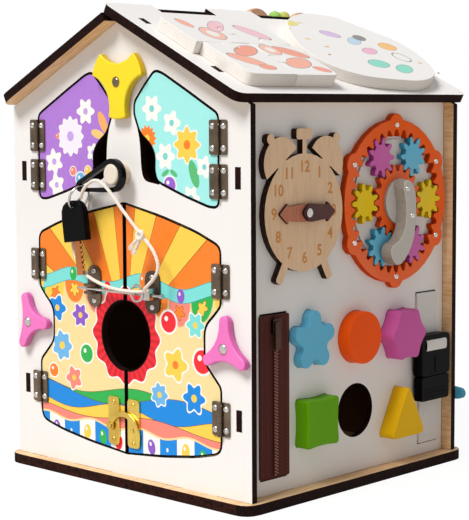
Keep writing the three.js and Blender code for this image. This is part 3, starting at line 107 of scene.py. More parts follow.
# Shader helpers: a Recipe places and joins the nodes of one tree.
def hexColour(text):
    parts = [int(text[i:i + 2], 16) / 255 for i in (1, 3, 5)]
    linear = [p / 12.92 if p <= 0.04045 else ((p + 0.055) / 1.055) ** 2.4 for p in parts]
    return (*linear, 1.0)


class Recipe:
    def __init__(self, tree):
        self.tree = tree

    def node(self, kind, **settings):
        made = self.tree.nodes.new("ShaderNode" + kind)
        for name, value in settings.items():
            setattr(made, name, value)
        return made

    def feed(self, value, socket):
        if isinstance(value, bpy.types.NodeSocket):
            self.tree.links.new(value, socket)
        else:
            socket.default_value = hexColour(value) if isinstance(value, str) else value

    def fill(self, values, sockets):
        for value, socket in zip(values, sockets):
            self.feed(value, socket)

    def maths(self, operation, *values, clamp=False):
        made = self.node("Math", operation=operation, use_clamp=clamp)
        self.fill(values, made.inputs)
        return made.outputs[0]

    def plus(self, first, second):
        return self.maths("ADD", first, second)

    def minus(self, first, second):
        return self.maths("SUBTRACT", first, second)

    def times(self, first, second):
        return self.maths("MULTIPLY", first, second)

    def scaled(self, value, factor, shift):
        return self.maths("MULTIPLY_ADD", value, factor, shift)

    def sine(self, value):
        return self.maths("SINE", value)

    def length(self, x, y):
        return self.maths("SQRT", self.plus(self.times(x, x), self.times(y, y)))

    def away(self, across, up, centre):
        return self.length(self.minus(across, centre[0]), self.minus(up, centre[1]))

    def vector(self, operation, *values):
        made = self.node("VectorMath", operation=operation)
        self.fill(values, made.inputs)
        return made.outputs["Value" if operation == "DOT_PRODUCT" else "Vector"]

    def mixed(self, share, first, second):
        made = self.node("Mix", data_type="RGBA")
        self.fill((share, first, second), (made.inputs[k] for k in (0, 6, 7)))
        return made.outputs[2]

    def blended(self, share, first, second):
        made = self.node("Mix", data_type="FLOAT")
        self.fill((share, first, second), (made.inputs[k] for k in (0, 2, 3)))
        return made.outputs[0]

    def ramp(self, value, low, high, toLow=0.0, toHigh=1.0):
        made = self.node("MapRange")
        self.fill((value, low, high, toLow, toHigh), made.inputs)
        return made.outputs[0]

    def above(self, value, level, soft=0.12):
        return self.ramp(self.minus(value, level), -soft, soft)

    def below(self, value, level, soft=0.12):
        return self.minus(1.0, self.above(value, level, soft))

    def within(self, value, low, high, soft=0.12):
        return self.times(self.above(value, low, soft), self.below(value, high, soft))

    def wave(self, value, length, height, shift=0.0):
        return self.times(self.sine(self.scaled(value, fullTurn / length, shift)), height)

    def place(self):
        return self.node("TexCoord").outputs["Object"]

    def facing(self, normal):
        return self.vector("DOT_PRODUCT", self.node("TexCoord").outputs["Normal"], normal)

    def noise(self, place, scale, detail=3.0):
        made = self.node("TexNoise")
        self.feed(place, made.inputs["Vector"])
        made.inputs["Scale"].default_value = scale
        made.inputs["Detail"].default_value = detail
        return made.outputs["Fac"]

    def sidePlace(self, side):
        *axes, origin = sides[side]
        place = self.vector("SUBTRACT", self.place(), tuple(c * mm for c in origin))
        return [self.vector("DOT_PRODUCT", place, tuple(c / mm for c in axis)) for axis in axes]

    def joined(self, x, y):
        made = self.node("CombineXYZ")
        self.fill((x, y), made.inputs)
        return made.outputs[0]

    def group(self, tree, **given):
        made = self.node("Group", node_tree=tree)
        self.fill(given.values(), (made.inputs[name] for name in given))
        return made.outputs


def newGroup(name, inputs, outputs):
    tree = bpy.data.node_groups.new(name, "ShaderNodeTree")
    for direction, sockets in (("INPUT", inputs), ("OUTPUT", outputs)):
        for socketName, kind in sockets.items():
            tree.interface.new_socket(socketName, in_out=direction, socket_type="NodeSocket" + kind)
    given = tree.nodes.new("NodeGroupInput").outputs[:len(inputs)]
    result = tree.nodes.new("NodeGroupOutput").inputs
    return tree, Recipe(tree), given, result


def newMaterial(name, roughness=0.5, metallic=0.0, shine=0.2):
    material = bpy.data.materials.new(name)
    material.use_nodes = True
    shader = material.node_tree.nodes["Principled BSDF"]
    shader.inputs["Roughness"].default_value = roughness
    shader.inputs["Metallic"].default_value = metallic
    shader.inputs["Specular IOR Level"].default_value = shine
    return material, Recipe(material.node_tree), shader.inputs


def finish(r, inputs, colour, roughness, height, strength, distance, metallic=None):
    r.feed(colour, inputs["Base Color"])
    r.feed(roughness, inputs["Roughness"])
    if metallic is not None:
        r.feed(metallic, inputs["Metallic"])
    bump = r.node("Bump")
    bump.inputs["Strength"].default_value = strength
    bump.inputs["Distance"].default_value = distance * mm
    r.feed(height, bump.inputs["Height"])
    r.feed(bump.outputs[0], inputs["Normal"])


print("scene: shared finishes")


def makeGrain():
    tree, r, (place, stretch), result = newGroup(
        "plyGrain", {"Place": "Vector", "Stretch": "Vector"}, {"Grain": "Float", "Height": "Float"}
    )
    stretched = r.vector("MULTIPLY", place, stretch)
    broad = r.noise(stretched, 1.0, 4.0)
    fine = r.noise(stretched, 4.5, 2.0)
    grain = r.scaled(r.sine(r.times(broad, 60.0)), 0.22, broad)
    r.fill((r.scaled(fine, 0.5, r.times(grain, 0.6)), fine), result)
    return tree


def makeLaserCut():
    tree, r, (facing, depth, veneer, face, back, edge, stripe), result = newGroup(
        "laserCutPly",
        {"Facing": "Float", "Depth": "Float", "Veneer": "Float",
         "Face": "Color", "Back": "Color", "Edge": "Color", "Stripe": "Color"},
        {"Color": "Color", "Face Mask": "Float", "Edge Mask": "Float", "Height": "Float"},
    )
    faceMask = r.ramp(facing, 0.60, 0.72)
    backMask = r.ramp(facing, -0.60, -0.72)
    stripes = r.sine(r.times(r.maths("DIVIDE", depth, veneer), fullTurn))
    charred = r.noise(r.place(), 260.0, 2.0)
    stripeShare = r.times(r.ramp(stripes, 0.1, 0.8), r.ramp(charred, 0.35, 0.7))
    colour = r.mixed(faceMask, r.mixed(backMask, r.mixed(stripeShare, edge, stripe), back), face)
    edgeMask = r.maths("SUBTRACT", 1.0, r.plus(faceMask, backMask), clamp=True)
    r.fill((colour, faceMask, edgeMask, r.times(stripeShare, edgeMask)), result)
    return tree


def makeWear():
    tree, r, (colour, worn, amount, roughness), result = newGroup(
        "paintWear",
        {"Color": "Color", "Worn": "Color", "Amount": "Float", "Roughness": "Float"},
        {"Color": "Color", "Roughness": "Float", "Height": "Float"},
    )
    cloudy = r.noise(r.place(), 14.0, 3.0)
    share = r.times(r.ramp(cloudy, 0.35, 0.75), amount)
    smudge = r.scaled(r.minus(cloudy, 0.5), 0.3, roughness)
    r.fill((r.mixed(share, colour, worn), smudge, r.noise(r.place(), 900.0, 2.0)), result)
    return tree


def makeWeave():
    tree, r, (across, along, pitch), result = newGroup(
        "clothWeave", {"Across": "Float", "Along": "Float", "Pitch": "Float"},
        {"Thread": "Float", "Height": "Float"},
    )
    threads = (r.sine(r.times(r.maths("DIVIDE", way, pitch), math.pi)) for way in (across, along))
    over = r.times(*threads)
    r.fill((r.ramp(over, -0.4, 0.4), r.maths("ABSOLUTE", over)), result)
    return tree


def makeBrushed():
    tree, r, (stretch, roughness), result = newGroup(
        "brushedMetal", {"Stretch": "Vector", "Roughness": "Float"},
        {"Shade": "Float", "Roughness": "Float", "Height": "Float"},
    )
    scratches = r.noise(r.vector("MULTIPLY", r.place(), stretch), 1.0, 4.0)
    tarnish = r.noise(r.place(), 60.0, 3.0)
    rough = r.scaled(r.minus(tarnish, 0.4), 0.35, roughness)
    r.fill((r.ramp(tarnish, 0.3, 0.7), rough, scratches), result)
    return tree


def makeMark():  # a printed dot, leaf or flower: the inside, and a rim round it
    tree, r, (place, centre, size, turn, petals, depth, rim), result = newGroup(
        "printedMark",
        {"Place": "Vector", "Centre": "Vector", "Size": "Vector", "Turn": "Float",
         "Petals": "Float", "Depth": "Float", "Rim": "Float"},
        {"Inside": "Float", "Rim": "Float"},
    )
    spin = r.node("VectorRotate", rotation_type="Z_AXIS")
    r.feed(r.vector("SUBTRACT", place, centre), spin.inputs["Vector"])
    r.feed(turn, spin.inputs["Angle"])
    parts = r.node("SeparateXYZ")
    r.feed(r.vector("DIVIDE", spin.outputs[0], size), parts.inputs[0])
    x, y = parts.outputs[:2]
    lobes = r.maths("COSINE", r.times(r.maths("ARCTAN2", y, x), petals))
    away = r.minus(r.length(x, y), r.scaled(lobes, depth, 1.0))
    r.fill((r.below(away, 0.0, 0.02), r.below(away, rim, 0.02)), result)
    return tree


plyGrain = makeGrain()
laserCutPly = makeLaserCut()
paintWear = makeWear()
clothWeave = makeWeave()
brushedMetal = makeBrushed()
printedMark = makeMark()

inks = {
    "orange": "#FB8429", "yellow": "#FFD251", "cyan": "#7EE0DA", "green": "#2DB350",
    "salmon": "#F48A7A", "cream": "#F3DD9E", "red": "#F32A36", "blue": "#138AE0",
    "purple": "#8E5BC8", "white": "#FAF7F2", "line": "#6A3A1C", "sky": "#6FB7E8",
}


# A mark is its inks, inside and rim, and what it gives to the group
def mark(x, y, width, height, ink, turn=0, petals=0, depth=0.0, rim=None, rimInk="white"):
    facts = {
        "Centre": (x, y, 0.0), "Size": (width, height, 1.0), "Turn": math.radians(turn),
        "Petals": petals, "Depth": depth, "Rim": rim or 0.0,
    }
    return ink, None if rim is None else rimInk, facts


def stamp(r, ground, place, printed):
    ink, rimInk, facts = printed
    outputs = r.group(printedMark, Place=place, **facts)
    if rimInk:
        ground = r.mixed(outputs["Rim"], ground, inks.get(rimInk, rimInk))
    return r.mixed(outputs["Inside"], ground, inks.get(ink, ink))


def markedPrint(side, ground, marks):
    def printed(r):
        x, h, _ = r.sidePlace(side)
        place = r.joined(x, h)
        result = r.mixed(0.0, ground, ground)
        for each in marks:
            result = stamp(r, result, place, each)
        return result
    return printed


def flower(x, y, radius, ink, petals=5, eye="yellow", rim=0.16, depth=0.2, turn=0):
    return [
        mark(x, y, radius, radius, ink, turn, petals, depth, rim),
        mark(x, y, radius * 0.3, radius * 0.3, eye),
    ]


def ball(x, y, radius, ink, rim=0.2):
    shift, glint = radius * 0.3, radius * 0.25
    return [
        mark(x, y, radius, radius, ink, rim=rim),
        mark(x - shift, y + shift, glint, glint, "white"),
    ]


def leaf(x, y, length, ink, turn):
    return [mark(x, y, length, length * 0.42, ink, turn)]


wood = {"pale": "#F0CDA2", "deep": "#D9A870", "edge": "#100302", "stripe": "#3A170D"}


def bareWood(r, stretch):
    grain = r.group(plyGrain, Place=r.place(), Stretch=stretch)
    return r.mixed(r.ramp(grain["Grain"], 0.3, 0.85), wood["pale"], wood["deep"]), grain["Height"]


# Painted plywood: one colour or print on the face, bare wood behind, burnt edges
def plySheet(
    name, side, face, roughness=0.42, edge=wood["edge"], stripe=wood["stripe"], back=None,
    stretch=(10.0, 10.0, 90.0), veneer=1.6, wear=0.25, facing=None, bareFace=False, proud=None,
):
    material, r, inputs = newMaterial(name, roughness, shine=0.1)
    depth = r.sidePlace(side)[2]
    wooden, grainHeight = bareWood(r, stretch)
    if callable(face):
        face = face(r)
    if callable(back):
        back = back(r, wooden)
    layers = r.group(
        laserCutPly, Facing=r.facing(facing or sides[side][2]), Depth=depth, Veneer=veneer,
        Face=wooden if bareFace else face, Back=back or wooden, Edge=edge, Stripe=stripe,
    )
    colour = layers["Color"]
    if proud:  # what stands out of the wall is painted all over
        colour = r.mixed(r.above(depth, 0.6, 0.05), colour, proud)
    amount = r.times(layers["Face Mask"], wear * 0.3)
    worn = r.group(paintWear, Color=colour, Worn="#CFC6BC", Amount=amount, Roughness=roughness)
    grained = r.times(grainHeight, r.minus(1.0, layers["Face Mask"]))
    height = r.plus(r.plus(r.times(worn["Height"], 0.12), grained), layers["Height"])
    rough = r.scaled(layers["Edge Mask"], 0.3, worn["Roughness"])
    finish(r, inputs, worn["Color"], rough, height, 0.35, 0.25)
    return material


def metal(name, base, dark, roughness):
    material, r, inputs = newMaterial(name, roughness, metallic=1.0)
    brushed = r.group(brushedMetal, Stretch=brushStrokes, Roughness=roughness)
    tone = r.mixed(r.times(brushed["Shade"], 0.5), base, dark)
    finish(r, inputs, tone, brushed["Roughness"], brushed["Height"], 0.15, 0.05)
    return material


def paint(name, colour, worn, roughness=0.38, shine=0.25, bumpShare=0.2):
    material, r, inputs = newMaterial(name, roughness, shine=shine)
    coat = r.group(paintWear, Color=colour, Worn=worn, Amount=0.35, Roughness=roughness)
    finish(r, inputs, coat["Color"], coat["Roughness"], coat["Height"], bumpShare, 0.12)
    return material


# Metals: bright and tarnished tone; plastic: new and worn tone
tones = {
    "steel": ("#E4E0DB", "#5E5852"), "bronze": ("#80705F", "#3E332B"), "brass": ("#F2D36B", "#B98C2E"),
    "copper": ("#D98A52", "#7A4A30"), "black": ("#040304", "#0C0B0C"),
}
brushStrokes = (300.0, 300.0, 1400.0)
steel = metal("polishedSteel", *tones["steel"], 0.15)
bronze = metal("darkBronze", *tones["bronze"], 0.26)
brassMetal = metal("brass", *tones["brass"], 0.24)
blackPlastic = paint("blackPlastic", *tones["black"], 0.42, 0.06, 0.35)


def setMaterial(node, material):
    target = frame["nodes"][node]
    target.data.materials.clear()
    target.data.materials.append(material)


# Mesh helpers
def absorb(mesh, bm):
    bm.from_mesh(mesh)
    bpy.data.meshes.remove(mesh)


def pour(part, bm, place):  # adds one finished shape to the piece that is being built
    part.transform(place)
    mesh = bpy.data.meshes.new("part")
    part.to_mesh(mesh)
    part.free()
    absorb(mesh, bm)


def pieceFrom(bm, name, material, body, place=None, smoothAngle=None):
    if place is not None:
        bm.transform(place)
    mesh = bpy.data.meshes.new(name)
    bm.to_mesh(mesh)
    bm.free()
    if smoothAngle:
        mesh.shade_smooth()
        mesh.set_sharp_from_angle(angle=math.radians(smoothAngle))
    piece = bpy.data.objects.new(name, mesh)
    scene.collection.objects.link(piece)
    mesh.materials.append(material)
    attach(piece, body)
    return piece


copying = {"merge": 1e-6, "flat": math.radians(1), "level": 2e-5, "corner": math.radians(40)}


def mergedCopy(node):
    bm = bmesh.new()
    bm.from_mesh(frame["nodes"][node].data)
    bmesh.ops.remove_doubles(bm, verts=bm.verts, dist=copying["merge"])
    bmesh.ops.dissolve_limit(bm, angle_limit=copying["flat"], verts=bm.verts, edges=bm.edges)
    bm.normal_update()
    return bm


def widest(faces):
    return max(faces, key=lambda f: f.calc_area())


def isCorner(edge):
    return edge.is_manifold and edge.is_convex and edge.calc_face_angle() > copying["corner"]


# Replaces a node by a copy whose outer outline is rounded
def roundedCopy(node, side, width, material, segments=3, bothFaces=False):
    out = Vector(sides[side][2])
    bm = mergedCopy(node)
    caps = [f for f in bm.faces if abs(f.normal.dot(out)) > 0.999]
    levels = [widest(f for f in caps if f.normal.dot(out) > 0)]
    if bothFaces:
        levels.append(widest(f for f in caps if f.normal.dot(out) < 0))
    chosen = {}
    for level in levels:
        height = level.calc_center_median().dot(out)
        for face in caps:
            isLevel = abs(face.calc_center_median().dot(out) - height) < copying["level"]
            if isLevel and face.normal.dot(level.normal) > 0:
                chosen.update(dict.fromkeys(filter(isCorner, face.edges)))
    bmesh.ops.bevel(
        bm, geom=list(chosen), offset=width * mm, offset_type="OFFSET", affect="EDGES",
        segments=segments, profile=0.5, material=-1, clamp_overlap=True,
    )
    bm.normal_update()
    piece = pieceFrom(bm, node + "_shape", material, bodyOf[node], smoothAngle=38)
    for polygon in piece.data.polygons:
        if abs(polygon.normal.dot(out)) > 0.9995:
            polygon.use_smooth = False
    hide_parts(node)


def onPlace(side, across, up, out, turn=0.0):
    return onSide[side] @ Matrix.Translation((across, up, out)) @ Matrix.Rotation(turn, 4, "Z")


def addBar(bm, side, place, size, edge):
    bar = bmesh.new()
    bmesh.ops.create_cube(bar, size=1.0, matrix=Matrix.Diagonal((*size, 1)))
    bmesh.ops.bevel(
        bar, geom=bar.edges[:], offset=edge, affect="EDGES", segments=1, profile=0.5, material=-1
    )
    pour(bar, bm, onPlace(side, *place))


def barsPiece(name, material, body, side, places, size, edge):
    bm = bmesh.new()
    for place in places:
        addBar(bm, side, place, size, edge)
    pieceFrom(bm, name, material, body)


print("scene: cord, knot")
cord = {"radius": 1.5, "length": 0.337, "knot": (38.5, 224, 15.8)}
cordRoute = [
    (39.5, 175.5, 10.3), (39.5, 175.7, 13), (42, 178, 16), (47.5, 182, 17.5),
    (54, 188, 17), (58.5, 196.5, 16), (56, 206, 15.5), (48, 216, 15.5),
    (38.5, 224, 15.8), (27, 234.5, 16.2), (16.4, 244.2, 16.8), (5, 256, 17.6),
    (-5, 264.5, 18), (-15.1, 268.6, 18), (-25, 266, 17.9), (-33, 259.8, 17.7),
    (-37, 255, 16.5), (-41.3, 252.4, 14), (-45.3, 252, 11.4), (-50, 248.5, 9.6),
    (-54.5, 241.5, 8.7), (-58, 230.5, 8.4), (-59.5, 218, 8.4), (-57.8, 207.5, 8.8),
    (-51, 194.8, 9.8), (-40.8, 185.8, 11), (-30, 182, 12.4), (-19.6, 179.6, 14),
    (-8, 177.6, 15.8), (3.7, 176.2, 17), (15, 175.6, 17.6), (25, 175.5, 17.5),
    (31, 175.5, 16.7), (35, 175.5, 14.4), (36.1, 175.5, 12.3), (36.1, 175.5, 10.3),
]


def cordMaterial():
    material, r, inputs = newMaterial("cottonCord", 0.8)
    place = r.place()
    twist = r.sine(r.times(r.vector("DOT_PRODUCT", place, (1.0, 0.4, 1.0)), 3400.0))
    fuzz = r.noise(place, 1300.0, 3.0)
    strands = r.scaled(fuzz, 0.6, r.ramp(twist, -1.0, 1.0))
    # the tone is darker where the strands sink, in the grooves between them: painted shade, with
    # random fuzz in it
    tone = r.mixed(r.ramp(strands, 0.2, 1.2), "#E0CDB9", "#FFF7EE")
    finish(r, inputs, tone, r.ramp(fuzz, 0.0, 1.0, 0.7, 0.9), strands, 0.6, 0.3)
    return material


cordWhite = cordMaterial()


def strandCurve(name, points, radius, steps=10):
    line = bpy.data.curves.new(name, "CURVE")
    line.dimensions = "3D"
    line.bevel_depth = radius * mm
    line.bevel_resolution = 3
    line.resolution_u = steps
    line.use_fill_caps = True
    spline = line.splines.new("BEZIER")
    spline.bezier_points.add(len(points) - 1)
    for knot, point in zip(spline.bezier_points, points):
        knot.co = onSide["front"] @ Vector(point)
        knot.handle_left_type = knot.handle_right_type = "AUTO"
    made = bpy.data.objects.new(name, line)
    scene.collection.objects.link(made)
    return made


def curveMesh(curveObject):
    graph = bpy.context.evaluated_depsgraph_get()
    mesh = bpy.data.meshes.new_from_object(curveObject.evaluated_get(graph))
    data = curveObject.data
    bpy.data.objects.remove(curveObject)
    bpy.data.curves.remove(data)
    return mesh


keyCord = strandCurve("key_cord_line", cordRoute, cord["radius"])
keyCord.data.materials.append(cordWhite)
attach(keyCord, "key_set")
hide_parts("key_cord")


def knotPiece():
    x, h, out = cord["knot"]
    turns = [
        (x + 3.4, h - 2.6, out + 0.4), (x + 1.2, h + 2.6, out + 2.0), (x - 2.6, h + 2.4, out + 1.4),
        (x - 3.0, h - 1.6, out + 2.2), (x + 0.6, h - 3.2, out + 2.4), (x + 3.0, h + 0.2, out + 1.6),
        (x + 0.4, h + 3.2, out + 0.6), (x - 3.2, h + 0.6, out + 0.9), (x - 1.4, h - 3.0, out + 1.0),
    ]
    tails = [
        [(x - 1.0, h - 1.4, out + 1.4), (x - 5.0, h - 5.4, out + 2.0), (x - 8.6, h - 7.6, out + 1.4)],
        [(x - 0.6, h - 2.0, out + 0.8), (x - 3.0, h - 7.6, out + 1.0), (x - 5.8, h - 11.4, out + 0.6)],
    ]
    frays = []
    for tail in tails:
        ex, eh, eo = tail[-1]
        for k in range(9):
            turn = fullTurn * k / 9
            frays.append([
                (ex + 0.7 * math.cos(turn), eh + 0.7 * math.sin(turn), eo),
                (ex - 1.6 + 1.5 * math.cos(turn), eh - 1.8 + 1.3 * math.sin(turn), eo + 0.3),
                (ex - 3.6 + 2.4 * math.cos(turn), eh - 4.2 + 1.9 * math.sin(turn), eo + 0.2),
            ])
    bm = bmesh.new()
    lines = [(turns, 1.6, 8), (tails[0], 1.55, 6), (tails[1], 1.55, 6)] + [(f, 0.5, 3) for f in frays]
    for points, radius, steps in lines:
        absorb(curveMesh(strandCurve("strand", points, radius, steps)), bm)
    return pieceFrom(bm, "cord_knot", cordWhite, "key_set", smoothAngle=60)


knot = knotPiece()

print("scene: walls, roof and base")
# inside: dark brown painted shade on the walls' inner faces, for the dark inside of the house
shell = {
    "white": "#F3EFEC", "inside": "#6B4A2D", "rearStrip": 139.2, "rearButton": "#4E9DBC",
    "flatGrain": (90.0, 10.0, 10.0), "slopeGrain": (10.0, 90.0, 10.0),
}


def rearInside(r, wooden):  # the back wall's inner face is bare where it reaches past the side walls, and takes the painted shade of the inside elsewhere
    across = r.maths("ABSOLUTE", r.sidePlace("back")[0])
    return r.mixed(r.above(across, shell["rearStrip"]), shell["inside"], wooden)


for node, name, side, more in (
    ("front_wall", "frontPly", "front", {"back": shell["inside"]}),
    ("back_wall", "backPly", "back", {"back": rearInside, "proud": shell["rearButton"]}),
    ("right_wall", "rightPly", "right", {"back": shell["inside"]}),
    ("left_wall", "leftPly", "left", {"back": shell["inside"]}),
    ("right_roof", "rightRoofPly", "slope", {"stretch": shell["slopeGrain"]}),
    ("left_roof", "leftRoofPly", "farSlope", {"stretch": shell["slopeGrain"]}),
    ("base_plate", "basePly", "front",
     {"facing": (0, 0, 1), "stretch": shell["flatGrain"], "bareFace": True}),
):
    setMaterial(node, plySheet(name, side, shell["white"], **more))

print("scene: doors")
lowerPrint = {
    "holeHeight": 133, "rays": 26, "crown": 178, "crownWave": (92, 5), "ribbon": 6, "scallop": 27,
    "rosette": 41, "bead": 46, "floor": 50, "floorWave": (62, 2.5), "block": 21,
}
lowerMarks = [
    *flower(-92, 150, 10, "blue"), *flower(-60, 146, 9, "purple", 6), *ball(-52, 112, 8, "green"),
    *flower(-86, 116, 12, "sky", 7, depth=0.14), *flower(-70, 88, 9, "salmon", turn=30),
    *ball(-98, 92, 6, "orange"), *ball(54, 150, 9, "red"), *flower(86, 150, 9, "cyan", 6),
    *flower(62, 114, 12, "yellow", eye="orange"), *ball(94, 120, 10, "red"),
    *flower(42, 86, 9, "sky", 7, depth=0.14), *flower(84, 88, 11, "blue", 6),
]
palette = ["orange", "purple", "blue", "yellow", "green", "red"]


def inkRow(r, index, names):
    share = r.maths("FRACT", r.times(index, 1 / len(names)))
    made = r.node("ValToRGB")
    made.color_ramp.interpolation = "CONSTANT"
    elements = made.color_ramp.elements
    elements[0].color = hexColour(inks[names[0]])
    elements[1].position = 1 / len(names)
    elements[1].color = hexColour(inks[names[1]])
    for k, name in enumerate(names[2:], 2):
        elements.new(k / len(names)).color = hexColour(inks[name])
    r.feed(r.plus(share, 0.02), made.inputs[0])
    return made.outputs[0]


def repeated(r, value, length):  # the place within one repeat, and which repeat it is
    index = r.maths("FLOOR", r.maths("DIVIDE", value, length))
    inner = r.minus(r.minus(value, r.times(index, length)), length / 2)
    return inner, index


def disc(r, x, y, width, height):
    shares = r.maths("DIVIDE", x, width), r.maths("DIVIDE", y, height)
    return r.below(r.length(*shares), 1.0, 0.04)


def crownPrint(r, x, h, angle):  # rays over the crown line, a ribbon with beads, scallops under it
    p = lowerPrint
    beams = r.sine(r.times(angle, p["rays"] / 2))
    rays = r.mixed(r.above(beams, 0.0, 0.03), inks["yellow"], inks["orange"])
    rays = r.mixed(r.below(r.maths("ABSOLUTE", beams), 0.05, 0.02), rays, "#B9621E")
    overCrown = r.minus(h, r.plus(r.wave(x, *p["crownWave"]), p["crown"]))
    ground = r.mixed(r.above(overCrown, 0.0), inks["cream"], rays)
    inner, index = repeated(r, x, p["scallop"])
    hang = r.plus(overCrown, p["ribbon"])
    lobe = r.times(disc(r, inner, hang, p["scallop"] * 0.48, 20), r.below(hang, 0.0))
    ground = r.mixed(lobe, ground, inkRow(r, index, ["yellow", "orange", "salmon", "green"]))
    bloom = r.group(
        printedMark, Place=r.joined(inner, r.plus(hang, 8.0)), Centre=(0, 0, 0), Size=(5, 5, 1),
        Turn=0.3, Petals=5.0, Depth=0.28, Rim=0.12,
    )
    ground = r.mixed(bloom["Rim"], ground, "#8A4A1E")
    ground = r.mixed(bloom["Inside"], ground, inkRow(r, index, ["orange", "yellow"]))
    ground = r.mixed(r.within(overCrown, -p["ribbon"], p["ribbon"]), ground, inks["cyan"])
    edges = r.within(r.maths("ABSOLUTE", overCrown), p["ribbon"] - 0.4, p["ribbon"] + 0.2)
    ground = r.mixed(edges, ground, "#3C9C9A")
    inner, index = repeated(r, x, p["bead"])
    ground = r.mixed(disc(r, inner, overCrown, 4.6, 6.2), ground, inkRow(r, index, palette))
    glint = disc(r, r.plus(inner, 1.4), r.minus(overCrown, 1.8), 1.2, 1.6)
    return r.mixed(glint, ground, inks["white"])


hills = [
    ("green", 82, (150, 5, 1.0)), ("blue", 77, (190, 7, -0.6)), ("yellow", 66, (130, 5, 2.0)),
    ("salmon", 59, (170, 4, 0.4)),
]


def footPrint(r, x, h, ground):  # the chequered foot, with a bead in each block
    p = lowerPrint
    foot = r.minus(h, r.plus(r.wave(x, *p["floorWave"]), p["floor"]))
    inner, index = repeated(r, x, p["block"])
    blocks = inkRow(r, index, ["blue", "white"])
    blocks = r.mixed(disc(r, inner, r.plus(foot, 11.0), 4.8, 6.6), blocks, inkRow(r, index, palette))
    glint = disc(r, r.plus(inner, 1.3), r.plus(foot, 8.6), 1.3, 1.8)
    ground = r.mixed(r.below(foot, 0.0), ground, r.mixed(glint, blocks, inks["white"]))
    return r.mixed(r.within(foot, -0.2, 1.6, 0.1), ground, inks["cream"])


def lowerDoorPrint(r):
    x, h, _ = r.sidePlace("front")
    place = r.joined(x, h)
    rise = r.minus(h, lowerPrint["holeHeight"])
    angle = r.maths("ARCTAN2", rise, x)
    ground = crownPrint(r, x, h, angle)
    for ink, level, wave in hills:
        line = r.minus(h, r.plus(r.wave(x, *wave), level))
        ground = r.mixed(r.below(line, 0.0), ground, inks[ink])
        ground = r.mixed(r.within(line, -0.3, 0.2, 0.1), ground, inks["line"])
    for each in lowerMarks:
        ground = stamp(r, ground, place, each)
    ground = footPrint(r, x, h, ground)
    # the rosette round the peek hole
    petals = r.maths("COSINE", r.times(angle, 12.0))
    rim = r.minus(r.length(x, rise), r.scaled(petals, 2.4, lowerPrint["rosette"]))
    pleats = r.ramp(r.sine(r.times(angle, 36.0)), -1.0, 1.0)
    ground = r.mixed(r.below(rim, 1.6), ground, inks["white"])
    return r.mixed(r.below(rim, 0.0), ground, r.mixed(pleats, "#D3182A", inks["red"]))


lilacEye, tealEye, leafGreen = "#C9A6EA", "#7CD8D2", "#5CBF7A"
upperDoors = {
    "upper_left_door": ("#B37DD9", [
        *flower(-49, 328, 10, "white", 6, lilacEye, 0.0),
        *flower(-70, 306, 15, "#F4EEFA", 12, lilacEye, 0.1, 0.1),
        *flower(-93, 283, 10, "white", 6, lilacEye, 0.0, turn=20),
        *flower(-40, 292, 7, "white", 5, lilacEye, 0.0),
        *flower(-90, 262, 9, "white", 5, lilacEye, 0.0, turn=40),
        *leaf(-26, 318, 11, "#F6B26B", 60), *leaf(-33, 308, 9, "#F8CE7E", 15),
        *ball(-57, 268, 6, "sky"), *ball(-67, 275, 4, "salmon"),
        *ball(-47, 276, 4, "yellow"), *ball(-88, 306, 2.6, "salmon", 0.0),
    ]),
    "upper_right_door": ("#A5EFEA", [
        *flower(36, 330, 10, "white", 6, tealEye, 0.0), *flower(60, 318, 9, "white", 5, tealEye, 0.0),
        *flower(30, 305, 10, "orange", 14, "yellow", 0.0, 0.12),
        *flower(52, 290, 10, "white", 6, tealEye, 0.0),
        *flower(78, 300, 13, "yellow", 8, "orange", 0.12, 0.16), *leaf(86, 276, 12, leafGreen, 70),
        *flower(98, 282, 8, "white", 5, tealEye, 0.0), *flower(82, 256, 9, "white", 6, tealEye, 0.0),
        *ball(57, 266, 7, "#9B63D0"), *leaf(52, 276, 5, leafGreen, 150),
        *leaf(62, 276, 5, leafGreen, 30),
    ]),
}


# A door is printed outside and bare inside; its hinge leaves, which stand proud, are bronze
def doorMaterial(name, printed):
    material, r, inputs = newMaterial(name, 0.3, shine=0.25)
    depth = r.sidePlace("front")[2]
    wooden, grainHeight = bareWood(r, shell["flatGrain"])
    layers = r.group(
        laserCutPly, Facing=r.facing(sides["front"][2]), Depth=depth, Veneer=1.6,
        Face=printed(r), Back=wooden, Edge="#120605", Stripe="#2B130C",
    )
    isMetal = r.above(depth, 0.2, 0.02)
    brushed = r.group(brushedMetal, Stretch=brushStrokes, Roughness=0.26)
    bronzeTone = r.mixed(r.times(brushed["Shade"], 0.5), *tones["bronze"])
    colour = r.mixed(isMetal, layers["Color"], bronzeTone)
    rough = r.scaled(layers["Edge Mask"], 0.3, brushed["Roughness"])
    finish(r, inputs, colour, rough, r.times(grainHeight, 0.3), 0.2, 0.2, isMetal)
    return material


lowerDoorLook = doorMaterial("lowerDoorPrint", lowerDoorPrint)
for node in ("lower_left_door", "lower_right_door"):
    setMaterial(node, lowerDoorLook)
for node, (ground, marks) in upperDoors.items():
    setMaterial(node, doorMaterial(node + "Print", markedPrint("front", ground, marks)))
# a near-black painted shadow for the slits round the doors and the zip's slots, which lie in shade
slitShadow = paint("slitShadow", "#060202", "#140806", 0.7, 0.1, 0.4)
doorShadowLine = {"breadth": 1.3, "thickness": 0.05, "lift": 6.02}


